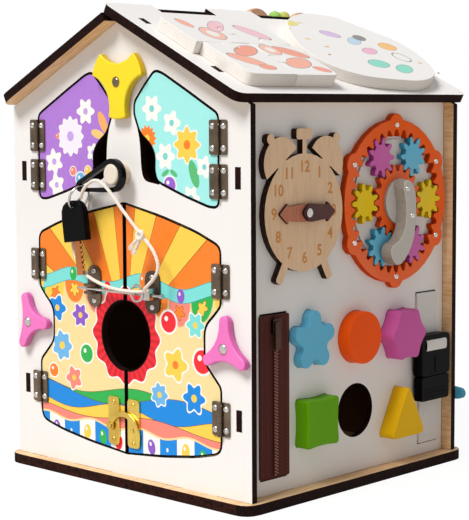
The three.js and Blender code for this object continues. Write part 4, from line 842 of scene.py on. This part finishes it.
def addDoorLine(node):  # a line of painted shadow along the door's outline, which its back face gives; it stands for the slit round the door, in shade
    out = Vector(sides["front"][2])
    door = mergedCopy(node)
    back = widest(f for f in door.faces if f.normal.dot(out) < -0.999)
    corners = [v.co + out * doorShadowLine["lift"] * mm for v in reversed(back.verts[:])]
    door.free()
    bm = bmesh.new()
    face = bm.faces.new([bm.verts.new(corner) for corner in corners])
    bm.normal_update()
    bmesh.ops.inset_individual(bm, faces=[face], thickness=doorShadowLine["breadth"] * mm, depth=0.0)
    bmesh.ops.delete(bm, geom=[face], context="FACES_ONLY")
    bmesh.ops.solidify(bm, geom=bm.faces[:], thickness=doorShadowLine["thickness"] * mm)
    bmesh.ops.recalc_face_normals(bm, faces=bm.faces)
    pieceFrom(bm, node + "_line", slitShadow, bodyOf[node])


print("scene: hinges, screws and rivets")
for row in ("lower", "upper"):
    for hand in ("left", "right"):
        addDoorLine(f"{row}_{hand}_door")
        for level in ("high", "low"):
            setMaterial(f"{row}_{hand}_hinge_{level}", bronze)

screwHead = {
    "radius": 2.9, "taper": 0.94, "rise": 0.5, "sides": 16, "sink": 0.02,
    "dome": ((0.3, 0.45), (0.5, 0.4), (0.5, 0.2)), "firstTurn": 0.3, "turnStep": 0.7,
    "crossInset": 0.12, "crossWaist": 0.3, "crossArm": 0.55, "crossDepth": 0.6,
}
hinges = {
    "lower": {"pin": 116.5, "heights": (189, 75)},
    "upper": {"pin": 115, "heights": (306.5, 270.5)},
    "screwAcross": 6.1, "screwUp": 9, "out": 1.5,
}


def addScrew(bm, place, radius, cross):
    s = screwHead
    head = bmesh.new()
    share = radius / s["radius"]
    bmesh.ops.create_cone(
        head, cap_ends=True, segments=s["sides"], radius1=radius, radius2=radius * s["taper"],
        depth=s["rise"] * share, matrix=Matrix.Translation((0, 0, s["rise"] * share / 2)),
    )
    top = max(head.faces, key=lambda f: f.calc_center_median().z)
    for thickness, depth in s["dome"]:
        bmesh.ops.inset_individual(head, faces=[top], thickness=thickness * share, depth=depth * share)
    if cross:
        bmesh.ops.inset_individual(head, faces=[top], thickness=s["crossInset"] * share, depth=0.0)
        middle = top.calc_center_median()
        for k, vertex in enumerate(top.verts):
            if k % 4:
                reach = s["crossWaist"] if k % 4 == 2 else s["crossArm"]
                vertex.co = middle + (vertex.co - middle) * reach
        floor = bmesh.ops.extrude_discrete_faces(head, faces=[top])["faces"]
        bmesh.ops.translate(head, verts=floor[0].verts, vec=(0, 0, -s["crossDepth"] * share))
    pour(head, bm, place)


def screwSet(
    name, body, side, places, material=steel, radius=screwHead["radius"], cross=True, slot="steel"
):
    bm = bmesh.new()
    for k, (across, up, out) in enumerate(places):
        turn = screwHead["turnStep"] * k + screwHead["firstTurn"]
        addScrew(bm, onPlace(side, across, up, out - screwHead["sink"], turn), radius, cross)
    pieceFrom(bm, name, material, body, smoothAngle=35)


wallScrews = []
doorScrews = {}
for row in ("lower", "upper"):
    for hand, sign in (("left", -1), ("right", 1)):
        for middle in hinges[row]["heights"]:
            for up in (middle - hinges["screwUp"], middle + hinges["screwUp"]):
                pin = sign * hinges[row]["pin"]
                wallScrews.append((pin + sign * hinges["screwAcross"], up, hinges["out"]))
                door = doorScrews.setdefault(f"{row}_{hand}_door", [])
                door.append((pin - sign * hinges["screwAcross"], up, hinges["out"]))
screwSet("hinge_screws", "house", "front", wallScrews)
for door, places in doorScrews.items():
    screwSet(door + "_screws", door, "front", places)

gears = {
    "centre": (55.6, 246.8), "bolts": 67.7, "ringFront": 6.3,
    "crankBolts": [(51.6, 258.4, 21.9), (58.5, 234.5, 21.9)], "sunDisc": 20.8, "discBack": 7.9,
}
boltRing = [
    (gears["centre"][0] + gears["bolts"] * math.cos(turn),
     gears["centre"][1] + gears["bolts"] * math.sin(turn), gears["ringFront"])
    for turn in (math.radians(30 + 60 * k) for k in range(6))
]
plates = {
    "front": 1.8, "heights": (161, 187), "keeper": -38.8, "guide": 36, "hook": -15, "catch": 10.5,
}
inBrass = {"material": brassMetal, "slot": "brass", "radius": 2.4}
latchSize, plain = {"radius": 2.6}, {"radius": 2.6, "cross": False}
for name, body, plate, heights, more in (
    ("keeper_screws", "lower_left_door", "keeper", plates["heights"], latchSize),
    ("guide_screws", "lower_right_door", "guide", plates["heights"], latchSize),
    ("hook_screws", "lower_left_door", "hook", (40, 73), inBrass),
    ("catch_screws", "lower_right_door", "catch", (39, 73), inBrass),
):
    screwSet(name, body, "front", [(plates[plate], h, plates["front"]) for h in heights], **more)
screwSet("ring_bolts", "house", "right", boltRing, **plain)
screwSet("crank_bolts", "sun", "right", gears["crankBolts"], **plain)

print("scene: latches and buttons")


# Coated all over but for a bare metal part; coated and bare each give two tones
def twoTone(
    name, coated, isBare, bare, roughness, bareRoughness=0.2, metallic=0.0, edge=None, shine=0.25
):
    material, r, inputs = newMaterial(name, roughness, shine=shine)
    share = isBare(r, *r.sidePlace("front"))
    coat = r.group(paintWear, Color=coated[0], Worn=coated[1], Amount=0.4, Roughness=roughness)
    colour = coat["Color"]
    if edge:
        colour = r.mixed(r.ramp(r.facing(sides["front"][2]), 0.5, 0.15), colour, edge)
    brushed = r.group(brushedMetal, Stretch=(400.0, 400.0, 400.0), Roughness=bareRoughness)
    colour = r.mixed(share, colour, r.mixed(r.times(brushed["Shade"], 0.4), *bare))
    rough = r.blended(share, coat["Roughness"], brushed["Roughness"])
    bareness = r.ramp(share, 0.0, 1.0, metallic, 1.0)
    finish(r, inputs, colour, rough, coat["Height"], 0.2, 0.1, bareness)
    return material


steelTones = ("#D8D4CF", "#8E8882")


def nearPoint(centre, radius, level):
    def mask(r, across, up, out):
        return r.times(r.below(r.away(across, up, centre), radius, 0.05), r.above(out, level, 0.05))
    return mask


guide = {"ring": (26, 173), "wire": (5.6, 8.4), "ringOut": 9.0, "end": (30.9, 41.1), "endOut": 2.0}


def ringMask(r, across, up, out):  # the bolt's ring, and the rod's end in the guide
    wire = r.within(r.away(across, up, guide["ring"]), *guide["wire"], 0.05)
    ring = r.times(wire, r.above(out, guide["ringOut"], 0.05))
    end = r.times(r.within(across, *guide["end"]), r.above(out, guide["endOut"], 0.05))
    return r.maths("MAXIMUM", ring, end)


guideLook = twoTone("guidePlate", ("#5F5046", "#352B24"), ringMask, steelTones, 0.3, metallic=1.0)
setMaterial("rod_guide_plate", guideLook)
setMaterial("rod_keeper_plate", bronze)
setMaterial("latch_rod", steel)
for node in ("brass_hook_plate", "brass_catch_plate"):
    setMaterial(node, brassMetal)
roundedCopy("brass_hook", "front", 0.5, brassMetal, bothFaces=True)

knobPink = (("#F57FC8", "#DF5FAE"), "#D765AC", "pink_paint", steelTones)
buttons = {
    "star_turn_button":
        ((0, 353), ("#FCE22A", "#E8C212"), "#D9B318", "yellow_paint", ("#8A7A66", "#4A3F34")),
    "left_turn_knob": ((-125.5, 135), *knobPink),
    "right_turn_knob": ((125.5, 135), *knobPink),
}
knobBolt = {"radius": 4.9, "level": 7.9}
for node, (centre, coated, edge, slotName, boltTones) in buttons.items():
    bolt = nearPoint(centre, **knobBolt)
    look = twoTone(node + "Paint", coated, bolt, boltTones, 0.34, edge=edge)
    roundedCopy(node, "front", 1.3, look, segments=4)

print("scene: key set")
keySet = {"top": (-50, 250), "tilt": math.radians(8), "headTall": 36}
keyDown = (math.sin(keySet["tilt"]), -math.cos(keySet["tilt"]))


def keyBlade(r, across, up, out):
    a = r.times(r.minus(across, keySet["top"][0]), keyDown[0])
    b = r.times(r.minus(up, keySet["top"][1]), keyDown[1])
    return r.above(r.plus(a, b), keySet["headTall"] + 0.1, 0.05)


keyLook = twoTone("carKey", tones["black"], keyBlade, tones["copper"], 0.3, 0.22, shine=0.07)
roundedCopy("key", "front", 1.6, keyLook, segments=4)
loopLook = paint("leatherLoop", "#050405", "#0E0C0D", 0.26, 0.14, 0.4)
roundedCopy("key_ring", "front", 1.4, loopLook, segments=4, bothFaces=True)
pegLook = plySheet(
    "pegWood", "front", "#E9DCCB", stretch=(90.0, 90.0, 12.0), edge="#DCCDBB", stripe="#CDB79D",
    wear=0.6,
)
roundedCopy("key_peg", "front", 0.4, pegLook, segments=2)

splitRing = {"wire": 1.12, "eye": (-41, 263), "holeDrop": 7.6, "out": 12.5}


def spinRound(bm, steps):
    bmesh.ops.spin(
        bm, geom=bm.verts[:] + bm.edges[:], cent=(0, 0, 0), axis=(0, 0, 1), angle=fullTurn,
        steps=steps, use_merge=True,
    )
    bmesh.ops.remove_doubles(bm, verts=bm.verts, dist=0.001)
    bmesh.ops.recalc_face_normals(bm, faces=bm.faces)


def splitRingPiece():
    eye = Vector(splitRing["eye"])
    foot = Vector(keySet["top"]) + Vector(keyDown) * splitRing["holeDrop"]
    rise = eye - foot
    bm = bmesh.new()
    circle = bmesh.ops.create_circle(bm, segments=10, radius=splitRing["wire"])["verts"]
    bmesh.ops.rotate(bm, verts=circle, cent=(0, 0, 0), matrix=Matrix.Rotation(math.pi / 2, 3, "X"))
    bmesh.ops.translate(bm, verts=circle, vec=(rise.length / 2, 0, 0))
    spinRound(bm, 48)
    turn = Matrix.Rotation(math.atan2(rise.y, rise.x), 4, "Z") @ Matrix.Rotation(math.pi / 2, 4, "X")
    place = onPlace("front", *(eye + foot) / 2, splitRing["out"]) @ turn
    pieceFrom(bm, "split_ring", steel, "key_set", place, smoothAngle=50)


splitRingPiece()
keyBits = {
    "across": 4.1, "out": 15, "turn": keySet["tilt"] + 0.5,
    "bits": ((40, 3.2), (44.5, 2.2), (48.5, 3.6), (53, 2.4), (57.5, 3.0), (61.5, 1.8)),
}


def keyBitsPiece():  # the jagged edge of the blade
    bm = bmesh.new()
    for down, reach in keyBits["bits"]:
        across = keySet["top"][0] + keyDown[0] * down - keyDown[1] * keyBits["across"]
        up = keySet["top"][1] + keyDown[1] * down + keyDown[0] * keyBits["across"]
        addBar(bm, "front", (across, up, keyBits["out"], keyBits["turn"]), (reach, 2.6, 1.9), 0.35)
    pieceFrom(bm, "key_bits", metal("copperKey", *tones["copper"], 0.24), "key_set")


keyBitsPiece()

print("scene: clock")
clock = {"centre": (-69.3, 243), "front": 6.3, "numerals": 38.0, "size": 13.2, "bold": 0.28}


def stainedPly(name, pale, deep, edge, boltOut):
    material, r, inputs = newMaterial(name, 0.5)
    across, up, out = r.sidePlace("right")
    grain = r.group(plyGrain, Place=r.place(), Stretch=(60.0, 90.0, 9.0))
    face = r.mixed(r.ramp(grain["Grain"], 0.35, 0.9), pale, deep)
    layers = r.group(
        laserCutPly, Facing=r.facing((1, 0, 0)), Depth=out, Veneer=1.5,
        Face=face, Back=face, Edge=edge, Stripe="#5B3220",
    )
    bolt = nearPoint(clock["centre"], 4.0, boltOut)(r, across, up, out)
    colour = r.mixed(bolt, layers["Color"], "#CFCAC4")
    finish(r, inputs, colour, r.ramp(bolt, 0.0, 1.0, 0.5, 0.22), grain["Height"], 0.3, 0.2, bolt)
    return material


# Pale and deep tone, the burnt edge, and how far out the steel bolt begins
faceStain = stainedPly("clockPly", "#F0CCA8", "#E4BC96", "#160604", 60)
hourStain = stainedPly("hour_handStain", "#C67C60", "#B06C54", "#2A100A", 60)
minuteStain = stainedPly("minute_handStain", "#5E3A38", "#4C302E", "#1A0A0A", 11.9)
setMaterial("clock_face", faceStain)
roundedCopy("hour_hand", "right", 0.3, hourStain, segments=2)
roundedCopy("minute_hand", "right", 0.3, minuteStain, segments=2)


def numeralsPiece():
    material, r, inputs = newMaterial("burntNumerals", 0.7)
    scorch = r.noise(r.place(), 700.0, 3.0)
    r.feed(r.mixed(r.ramp(scorch, 0.3, 0.7), "#E0A05E", "#CC8844"), inputs["Base Color"])
    r.feed(r.ramp(scorch, 0.2, 0.8, 0.6, 0.85), inputs["Roughness"])
    graph = bpy.context.evaluated_depsgraph_get()
    bm = bmesh.new()
    for hour in range(1, 13):
        letters = bpy.data.curves.new("numeral", "FONT")
        letters.body = str(hour)
        letters.size = clock["size"]
        letters.align_x = letters.align_y = "CENTER"
        letters.extrude = 0.06
        letters.offset = clock["bold"]
        letters.resolution_u = 4
        holder = bpy.data.objects.new("numeral", letters)
        scene.collection.objects.link(holder)
        graph.update()
        mesh = bpy.data.meshes.new_from_object(holder.evaluated_get(graph))
        bpy.data.objects.remove(holder)
        bpy.data.curves.remove(letters)
        turn = fullTurn * hour / 12
        y = clock["centre"][0] + clock["numerals"] * math.sin(turn)
        h = clock["centre"][1] + clock["numerals"] * math.cos(turn)
        mesh.transform(onPlace("right", y, h, clock["front"] + 0.05))
        absorb(mesh, bm)
    pieceFrom(bm, "clock_numerals", material, "house")


numeralsPiece()

print("scene: gears")


def paintedPly(name, face, edge, stripe):
    return plySheet(name, "right", face, 0.4, edge, stripe, back=edge, wear=0.5)


orangeTones, greyTones = ("#FF6410", "#CF4608", "#A83606"), ("#D2CCC4", "#978E84", "#776E65")
gearPaints = {
    "orange": paintedPly("gearOrange", *orangeTones),
    "magenta": paintedPly("gearMagenta", "#D765B4", "#AC4890", "#8A3872"),
    "blue": paintedPly("gearBlue", "#6CC6E8", "#469CBE", "#34809E"),
    "gold": paintedPly("gearGold", "#F8D20C", "#CCA808", "#A68806"),
}
roundedCopy("gear_ring", "right", 0.7, gearPaints["orange"], segments=3)
for k, tone in enumerate(("gold", "blue", "magenta") * 2, 1):
    roundedCopy(f"planet_gear_{k}", "right", 0.35, gearPaints[tone], segments=2)
setMaterial("planet_carrier", paintedPly("carrierWhite", "#E6E1DC", "#C9BFB4", "#A3978B"))


def sunLook():  # an orange gear with a grey disc on it
    material, r, inputs = newMaterial("sunGearPaint", 0.4)
    across, up, out = r.sidePlace("right")
    away = r.away(across, up, gears["centre"])
    isDisc = r.times(r.below(away, gears["sunDisc"], 0.1), r.above(out, gears["discBack"], 0.1))
    face, edge, stripe = (r.mixed(isDisc, *pair) for pair in zip(orangeTones, greyTones))
    layers = r.group(
        laserCutPly, Facing=r.facing((1, 0, 0)), Depth=out, Veneer=1.6, Face=face, Back=face,
        Edge=edge, Stripe=stripe,
    )
    worn = r.group(paintWear, Color=layers["Color"], Worn="#A89C90", Amount=0.15, Roughness=0.4)
    finish(r, inputs, worn["Color"], worn["Roughness"], worn["Height"], 0.2, 0.1)
    return material


roundedCopy("sun_gear", "right", 0.5, sunLook(), segments=2)
crankLook = paintedPly("crankGrey", "#CBC5BD", "#A0968B", "#7F756A")
roundedCopy("crank_handle", "right", 1.2, crankLook, segments=4)

print("scene: sorter")
sorter = {
    "star_block": ("#6CC0E2", "#52A6CA", "blue_paint", 1.2),
    "round_block": ("#FF5A06", "#E44C06", "orange_paint", 1.2),
    "hexagon_block": ("#D460AA", "#B54E92", "magenta_paint", 1.4),
    "square_block": ("#69AC08", "#559408", "green_paint", 1.4),
    "triangle_block": ("#F4C00C", "#D6A408", "gold_paint", 1.4),
}
for node, (base, worn, slotName, width) in sorter.items():
    look = paint(node + "Paint", base, worn, 0.42, 0.1)
    roundedCopy(node, "right", width, look, segments=4)

print("scene: zip")
zipFacts = {
    "y": -102, "low": 23, "high": 160, "ridge": 3.3, "pitch": 2.7, "rows": (-1.15, 1.15),
    "tooth": (2.1, 1.3, 0.9), "margin": 3, "stitchX": (-15.6, -8.5, 8.5, 15.6), "tape": 1.9,
    "stitch": (0.5, 2.2, 0.35), "stitchPitch": 3.4, "stitchMargin": 2, "slot": (33, 1.6, 0.3),
}
weavePitch = 0.9


def clothMaterial(name, base, thread, roughness=0.85):
    material, r, inputs = newMaterial(name, roughness)
    across, up, _ = r.sidePlace("right")
    weave = r.group(clothWeave, Across=across, Along=up, Pitch=weavePitch)
    fuzz = r.noise(r.place(), 90.0, 3.0)
    tone = r.scaled(r.minus(fuzz, 0.5), 0.6, weave["Thread"])
    colour = r.mixed(r.maths("ADD", tone, 0.0, clamp=True), base, thread)
    inputs["Sheen Weight"].default_value = 0.15
    rough = r.ramp(fuzz, 0.0, 1.0, roughness - 0.1, roughness + 0.1)
    finish(r, inputs, colour, rough, weave["Height"], 0.5, 0.2)
    return material


def zipPieces():
    z = zipFacts
    tall = z["high"] - z["low"]
    setMaterial("zip_tape", clothMaterial("zipCloth", "#3E0F08", "#561E14"))
    sliderMetal = metal("zipSlider", "#4F3A33", "#2C1F1B", 0.3)
    roundedCopy("zip_slider", "right", 0.5, sliderMetal, segments=2)
    teeth = [
        (z["y"] + row, z["low"] + z["margin"] + k * z["pitch"] + shift, z["ridge"] + 0.1)
        for k in range(int((tall - 2 * z["margin"]) / z["pitch"]))
        for row, shift in zip(z["rows"], (0, z["pitch"] / 2))
    ]
    teeth = [place for place in teeth if place[1] < z["high"] - z["margin"]]
    plastic = paint("zipTeeth", "#A06A5A", "#7C4A3C", 0.35, 0.4, 0.3)
    barsPiece("zip_teeth", plastic, "house", "right", teeth, z["tooth"], 0.2)
    stitches = [
        (z["y"] + x, z["low"] + z["stitchMargin"] + z["stitchPitch"] * (k + 0.5), z["tape"])
        for x in z["stitchX"]
        for k in range(int((tall - 2 * z["stitchMargin"]) / z["stitchPitch"]))
    ]
    thread = paint("brownThread", "#84493A", "#5A2E24", 0.8, 0.1, 0.5)
    barsPiece("zip_stitches", thread, "house", "right", stitches, z["stitch"], 0.12)
    # the slots that the tape goes through, drawn as thin bars of painted shadow
    slots = [(z["y"], h, 0.05) for h in (z["low"] - 0.7, z["high"] + 0.7)]
    barsPiece("zip_slots", slitShadow, "house", "right", slots, z["slot"], 0.1)


zipPieces()

print("scene: buckle and straps")
strap = {
    "middle": 108, "band": (107, 118), "front": 12.5, "upper": 122, "halfWidth": 14.8,
    "rib": (108, 94.5, 12.6), "ribSize": (3.4, 15, 1.0),
    "grips": (64.5, 68, 71.5), "gripSize": (30, 1.4, 1.0), "plugFront": 12.1,
}
webbingTones = ("#D6D2CD", "#F0EDE9")


def socketLook():  # the socket is black; the webbing above it is part of the same solid
    material, r, inputs = newMaterial("socketAndWebbing", 0.35, shine=0.06)
    across, up, _ = r.sidePlace("right")
    isCloth = r.above(up, strap["upper"] + 0.2, 0.05)
    weave = r.group(clothWeave, Across=across, Along=up, Pitch=weavePitch)
    black, worn = tones["black"]
    plastic = r.group(paintWear, Color=black, Worn=worn, Amount=0.4, Roughness=0.42)
    colour = r.mixed(isCloth, plastic["Color"], r.mixed(weave["Thread"], *webbingTones))
    height = r.blended(isCloth, plastic["Height"], weave["Height"])
    finish(r, inputs, colour, r.scaled(isCloth, 0.45, plastic["Roughness"]), height, 0.35, 0.2)
    return material


roundedCopy("buckle_socket", "right", 1.2, socketLook(), segments=3)
roundedCopy("buckle_plug", "right", 0.8, blackPlastic, segments=3)
webbing = clothMaterial("whiteWebbing", *webbingTones)
setMaterial("lower_strap", webbing)


def strapBand():
    low, high = strap["band"]
    bm = bmesh.new()
    bmesh.ops.create_grid(bm, x_segments=12, y_segments=6, size=1.0)
    halfTall = (high - low) / 2
    bm.transform(Matrix.Diagonal((strap["halfWidth"], halfTall, 1, 1)))
    for vertex in bm.verts:
        share = abs(vertex.co.y) / halfTall
        vertex.co.z = 1.1 * (1 - share ** 4) - 0.5 * share ** 6
    bmesh.ops.recalc_face_normals(bm, faces=bm.faces)
    bmesh.ops.solidify(bm, geom=bm.faces[:], thickness=0.6)
    place = onPlace("right", strap["middle"], (low + high) / 2, strap["front"] + 0.1)
    pieceFrom(bm, "strap_band", webbing, "house", place, smoothAngle=50)


strapBand()
reliefs = (
    ("socket_rib", "house", [strap["rib"]], strap["ribSize"]),
    ("plug_grips", "buckle_plug",
     [(strap["middle"], up, strap["plugFront"]) for up in strap["grips"]], strap["gripSize"]),
)
for name, body, places, size in reliefs:
    barsPiece(name, blackPlastic, body, "right", places, size, 0.3)

print("scene: puzzle and picture board")
salmon, pink, grey, pale = ("#F6B29C", "#F3A48F", "#F7C2B0"), "#F3C4CC", "#8E8C8B", "#F2EFEC"
straw, dot, mint = "#C9BC7A", "#E3CF7A", "#8EDCC8"


def outlined(x, y, width, height, ink, turn=0, line=grey, share=0.07):
    return mark(x, y, width, height, ink, turn, rim=share if line else None, rimInk=line)


puzzleMarks = [
    (-112, 40, 17, 8, salmon[0], 35), (-96, 58, 18, 8, salmon[1], -25),
    (-52, 36, 18, 9, salmon[0], 160), (-40, 58, 17, 8, salmon[1], 30),
    (-62, 62, 10, 10, salmon[2]), (-62, 62, 5, 5, pale, 0, None), (-100, 26, 9, 5, salmon[1]),
    (-34, 24, 9, 5, salmon[1], 20), (-104, 92, 12, 12, salmon[2]), (-104, 92, 6, 6, pale, 0, None),
    (-86, 108, 16, 7, pink, -40), (-50, 98, 17, 8, pink, 50), (-120, 112, 9, 5, salmon[0], 70),
]
boardMarks = [
    (10, 118, 8, 5, "#EFE6A8", 20, straw), (30, 128, 10, 6, "#EBDD86", -10, straw),
    (64, 106, 11, 7, "#D9BDE4", 15), (84, 92, 13, 6, "#BFD9EC", -30), (100, 100, 9, 6, grey, -20),
    (82, 70, 12, 6, "#F0B7CF", -20), (122, 82, 12, 8, "#F7C27E", -15, "#C98F4A"),
    (64, 42, 14, 8, mint, -10), (90, 32, 15, 7, mint, -25), (116, 58, 9, 9, pale, 0, "#55504C", 0.12),
    (46, 130, 4, 1.6, dot, 0, None), (18, 92, 4, 1.6, dot, 0, None),
    (28, 76, 3.5, 1.6, "#E8B48A", 0, None), (130, 46, 3, 1.6, "#E8B48A", 0, None),
]


def slopePly(name, rows):
    printed = markedPrint("slope", pale, [outlined(*row) for row in rows])
    return plySheet(name, "slope", printed, edge="#EBE5DE", stripe="#E2D8CC", wear=0.15, veneer=2.2)


puzzleLook, boardLook = slopePly("puzzlePrint", puzzleMarks), slopePly("boardPrint", boardMarks)
for corner in ("low_front", "low_back", "high_back", "high_front"):
    roundedCopy(f"puzzle_piece_{corner}", "slope", 0.5, puzzleLook, segments=3)
roundedCopy("roof_board", "slope", 0.6, boardLook, segments=3)

pinWood = paint("pinWood", "#C98A52", "#A86B3A", 0.6, 0.1, 0.4)
screwSet(
    "board_pins", "house", "slope", [(12, 58, 10.3), (132, 24, 10.3)], pinWood, 1.3, cross=False,
    slot="bare_ply",
)

print("scene: ridge beads")
ridge = {
    "x": -12, "thickness": 6, "height": 403.5, "arches": ((41, 20.5), (104, 19)), "edge": 1.2,
    "wire": 1.1, "wireHeight": 417, "beads": ((68, "#A9D86E"), (81, "#D9D36A")),
    "bead": ((1.2, -5), (3.6, -5), (5.2, -3), (5.8, 0), (5.2, 3), (3.6, 5), (1.2, 5)),
}


def onRidge(y, height):
    return Matrix.Scale(mm, 4) @ Matrix.Translation((ridge["x"], y, height))


def ridgeArches():  # wooden discs on the far slope, whose tops show over the ridge
    bm = bmesh.new()
    for y, radius in ridge["arches"]:
        arch = bmesh.new()
        bmesh.ops.create_cone(
            arch, cap_ends=True, segments=56, radius1=radius, radius2=radius, depth=ridge["thickness"]
        )
        rims = [e for e in arch.edges if any(len(f.verts) > 4 for f in e.link_faces)]
        bmesh.ops.bevel(
            arch, geom=rims, offset=ridge["edge"], affect="EDGES", segments=3, profile=0.5, material=-1
        )
        pour(arch, bm, onRidge(y, ridge["height"]) @ Matrix.Rotation(math.pi / 2, 4, "Y"))
    look = plySheet("archWood", "farSlope", "#DDB08C", edge="#D9A886", stripe="#C9967A", wear=0.3)
    pieceFrom(bm, "ridge_arches", look, "house", smoothAngle=40)


def ridgeBeads():
    low, high = (y for y, _ in ridge["arches"])
    lying = Matrix.Rotation(-math.pi / 2, 4, "X")
    wire = bmesh.new()
    bmesh.ops.create_cone(
        wire, cap_ends=True, segments=12, radius1=ridge["wire"], radius2=ridge["wire"],
        depth=high - low,
    )
    place = onRidge((low + high) / 2, ridge["wireHeight"]) @ lying
    pieceFrom(wire, "ridge_wire", steel, "house", place, 50)
    for k, (y, colour) in enumerate(ridge["beads"], 1):
        bead = bmesh.new()
        corners = [bead.verts.new((radius, 0, height)) for radius, height in ridge["bead"]]
        for pair in zip(corners, corners[1:] + corners[:1]):
            bead.edges.new(pair)
        spinRound(bead, 24)
        look = paint(f"ridgeBead{k}", colour, "#8FB858", 0.35)
        place = onRidge(y, ridge["wireHeight"]) @ lying
        pieceFrom(bead, f"ridge_bead_{k}", look, "house", place, 50)


ridgeArches()
ridgeBeads()

print("scene: floor and light")
studio = {
    "floor": 3.0, "floorColour": "#D9D4CE", "whiteShare": 0.9, "glow": 1.05, "sunStrength": 3.0,
    "sunSpread": 24, "sunFrom": (-0.05, -0.6, 0.8), "sky": 0.33, "glossyShare": 0.55,
}


def cameraLike(r):  # the rays that look at the background: camera, glossy and transmission
    path = r.node("LightPath").outputs
    glossy = r.times(path["Is Glossy Ray"], studio["glossyShare"])
    share = r.maths("MAXIMUM", path["Is Camera Ray"], glossy)
    return r.maths("MAXIMUM", share, path["Is Transmission Ray"])


def makeFloor():
    bm = bmesh.new()
    bmesh.ops.create_grid(bm, x_segments=1, y_segments=1, size=studio["floor"])
    bm.transform(Matrix.Translation((0, 0, cadLow.z - 0.0002)))
    mesh = bpy.data.meshes.new("floor")
    bm.to_mesh(mesh)
    bm.free()
    floor = bpy.data.objects.new("floor", mesh)
    scene.collection.objects.link(floor)
    material = bpy.data.materials.new("paleFloor")
    material.use_nodes = True
    tree = material.node_tree
    tree.nodes.clear()
    r = Recipe(tree)
    matt = r.node("BsdfDiffuse")
    matt.inputs["Color"].default_value = hexColour(studio["floorColour"])
    glow = r.node("Emission")
    glow.inputs["Strength"].default_value = studio["glow"]
    blend = r.node("MixShader")
    r.feed(r.times(cameraLike(r), studio["whiteShare"]), blend.inputs[0])
    r.feed(matt.outputs[0], blend.inputs[1])
    r.feed(glow.outputs[0], blend.inputs[2])
    r.feed(blend.outputs[0], r.node("OutputMaterial").inputs["Surface"])
    mesh.materials.append(material)


def makeLight():
    sun = bpy.data.lights.new("sun", "SUN")
    sun.energy = studio["sunStrength"]
    sun.angle = math.radians(studio["sunSpread"])
    holder = bpy.data.objects.new("sun", sun)
    holder.rotation_euler = Vector(studio["sunFrom"]).to_track_quat("Z", "Y").to_euler()
    scene.collection.objects.link(holder)
    world = bpy.data.worlds.new("studio")
    world.use_nodes = True
    scene.world = world
    background = world.node_tree.nodes["Background"]
    background.inputs["Color"].default_value = (1, 1, 1, 1)
    r = Recipe(world.node_tree)
    r.feed(r.ramp(cameraLike(r), 0.0, 1.0, studio["sky"], 1.0), background.inputs["Strength"])


makeFloor()
makeLight()
scene.view_settings.view_transform = "Standard"
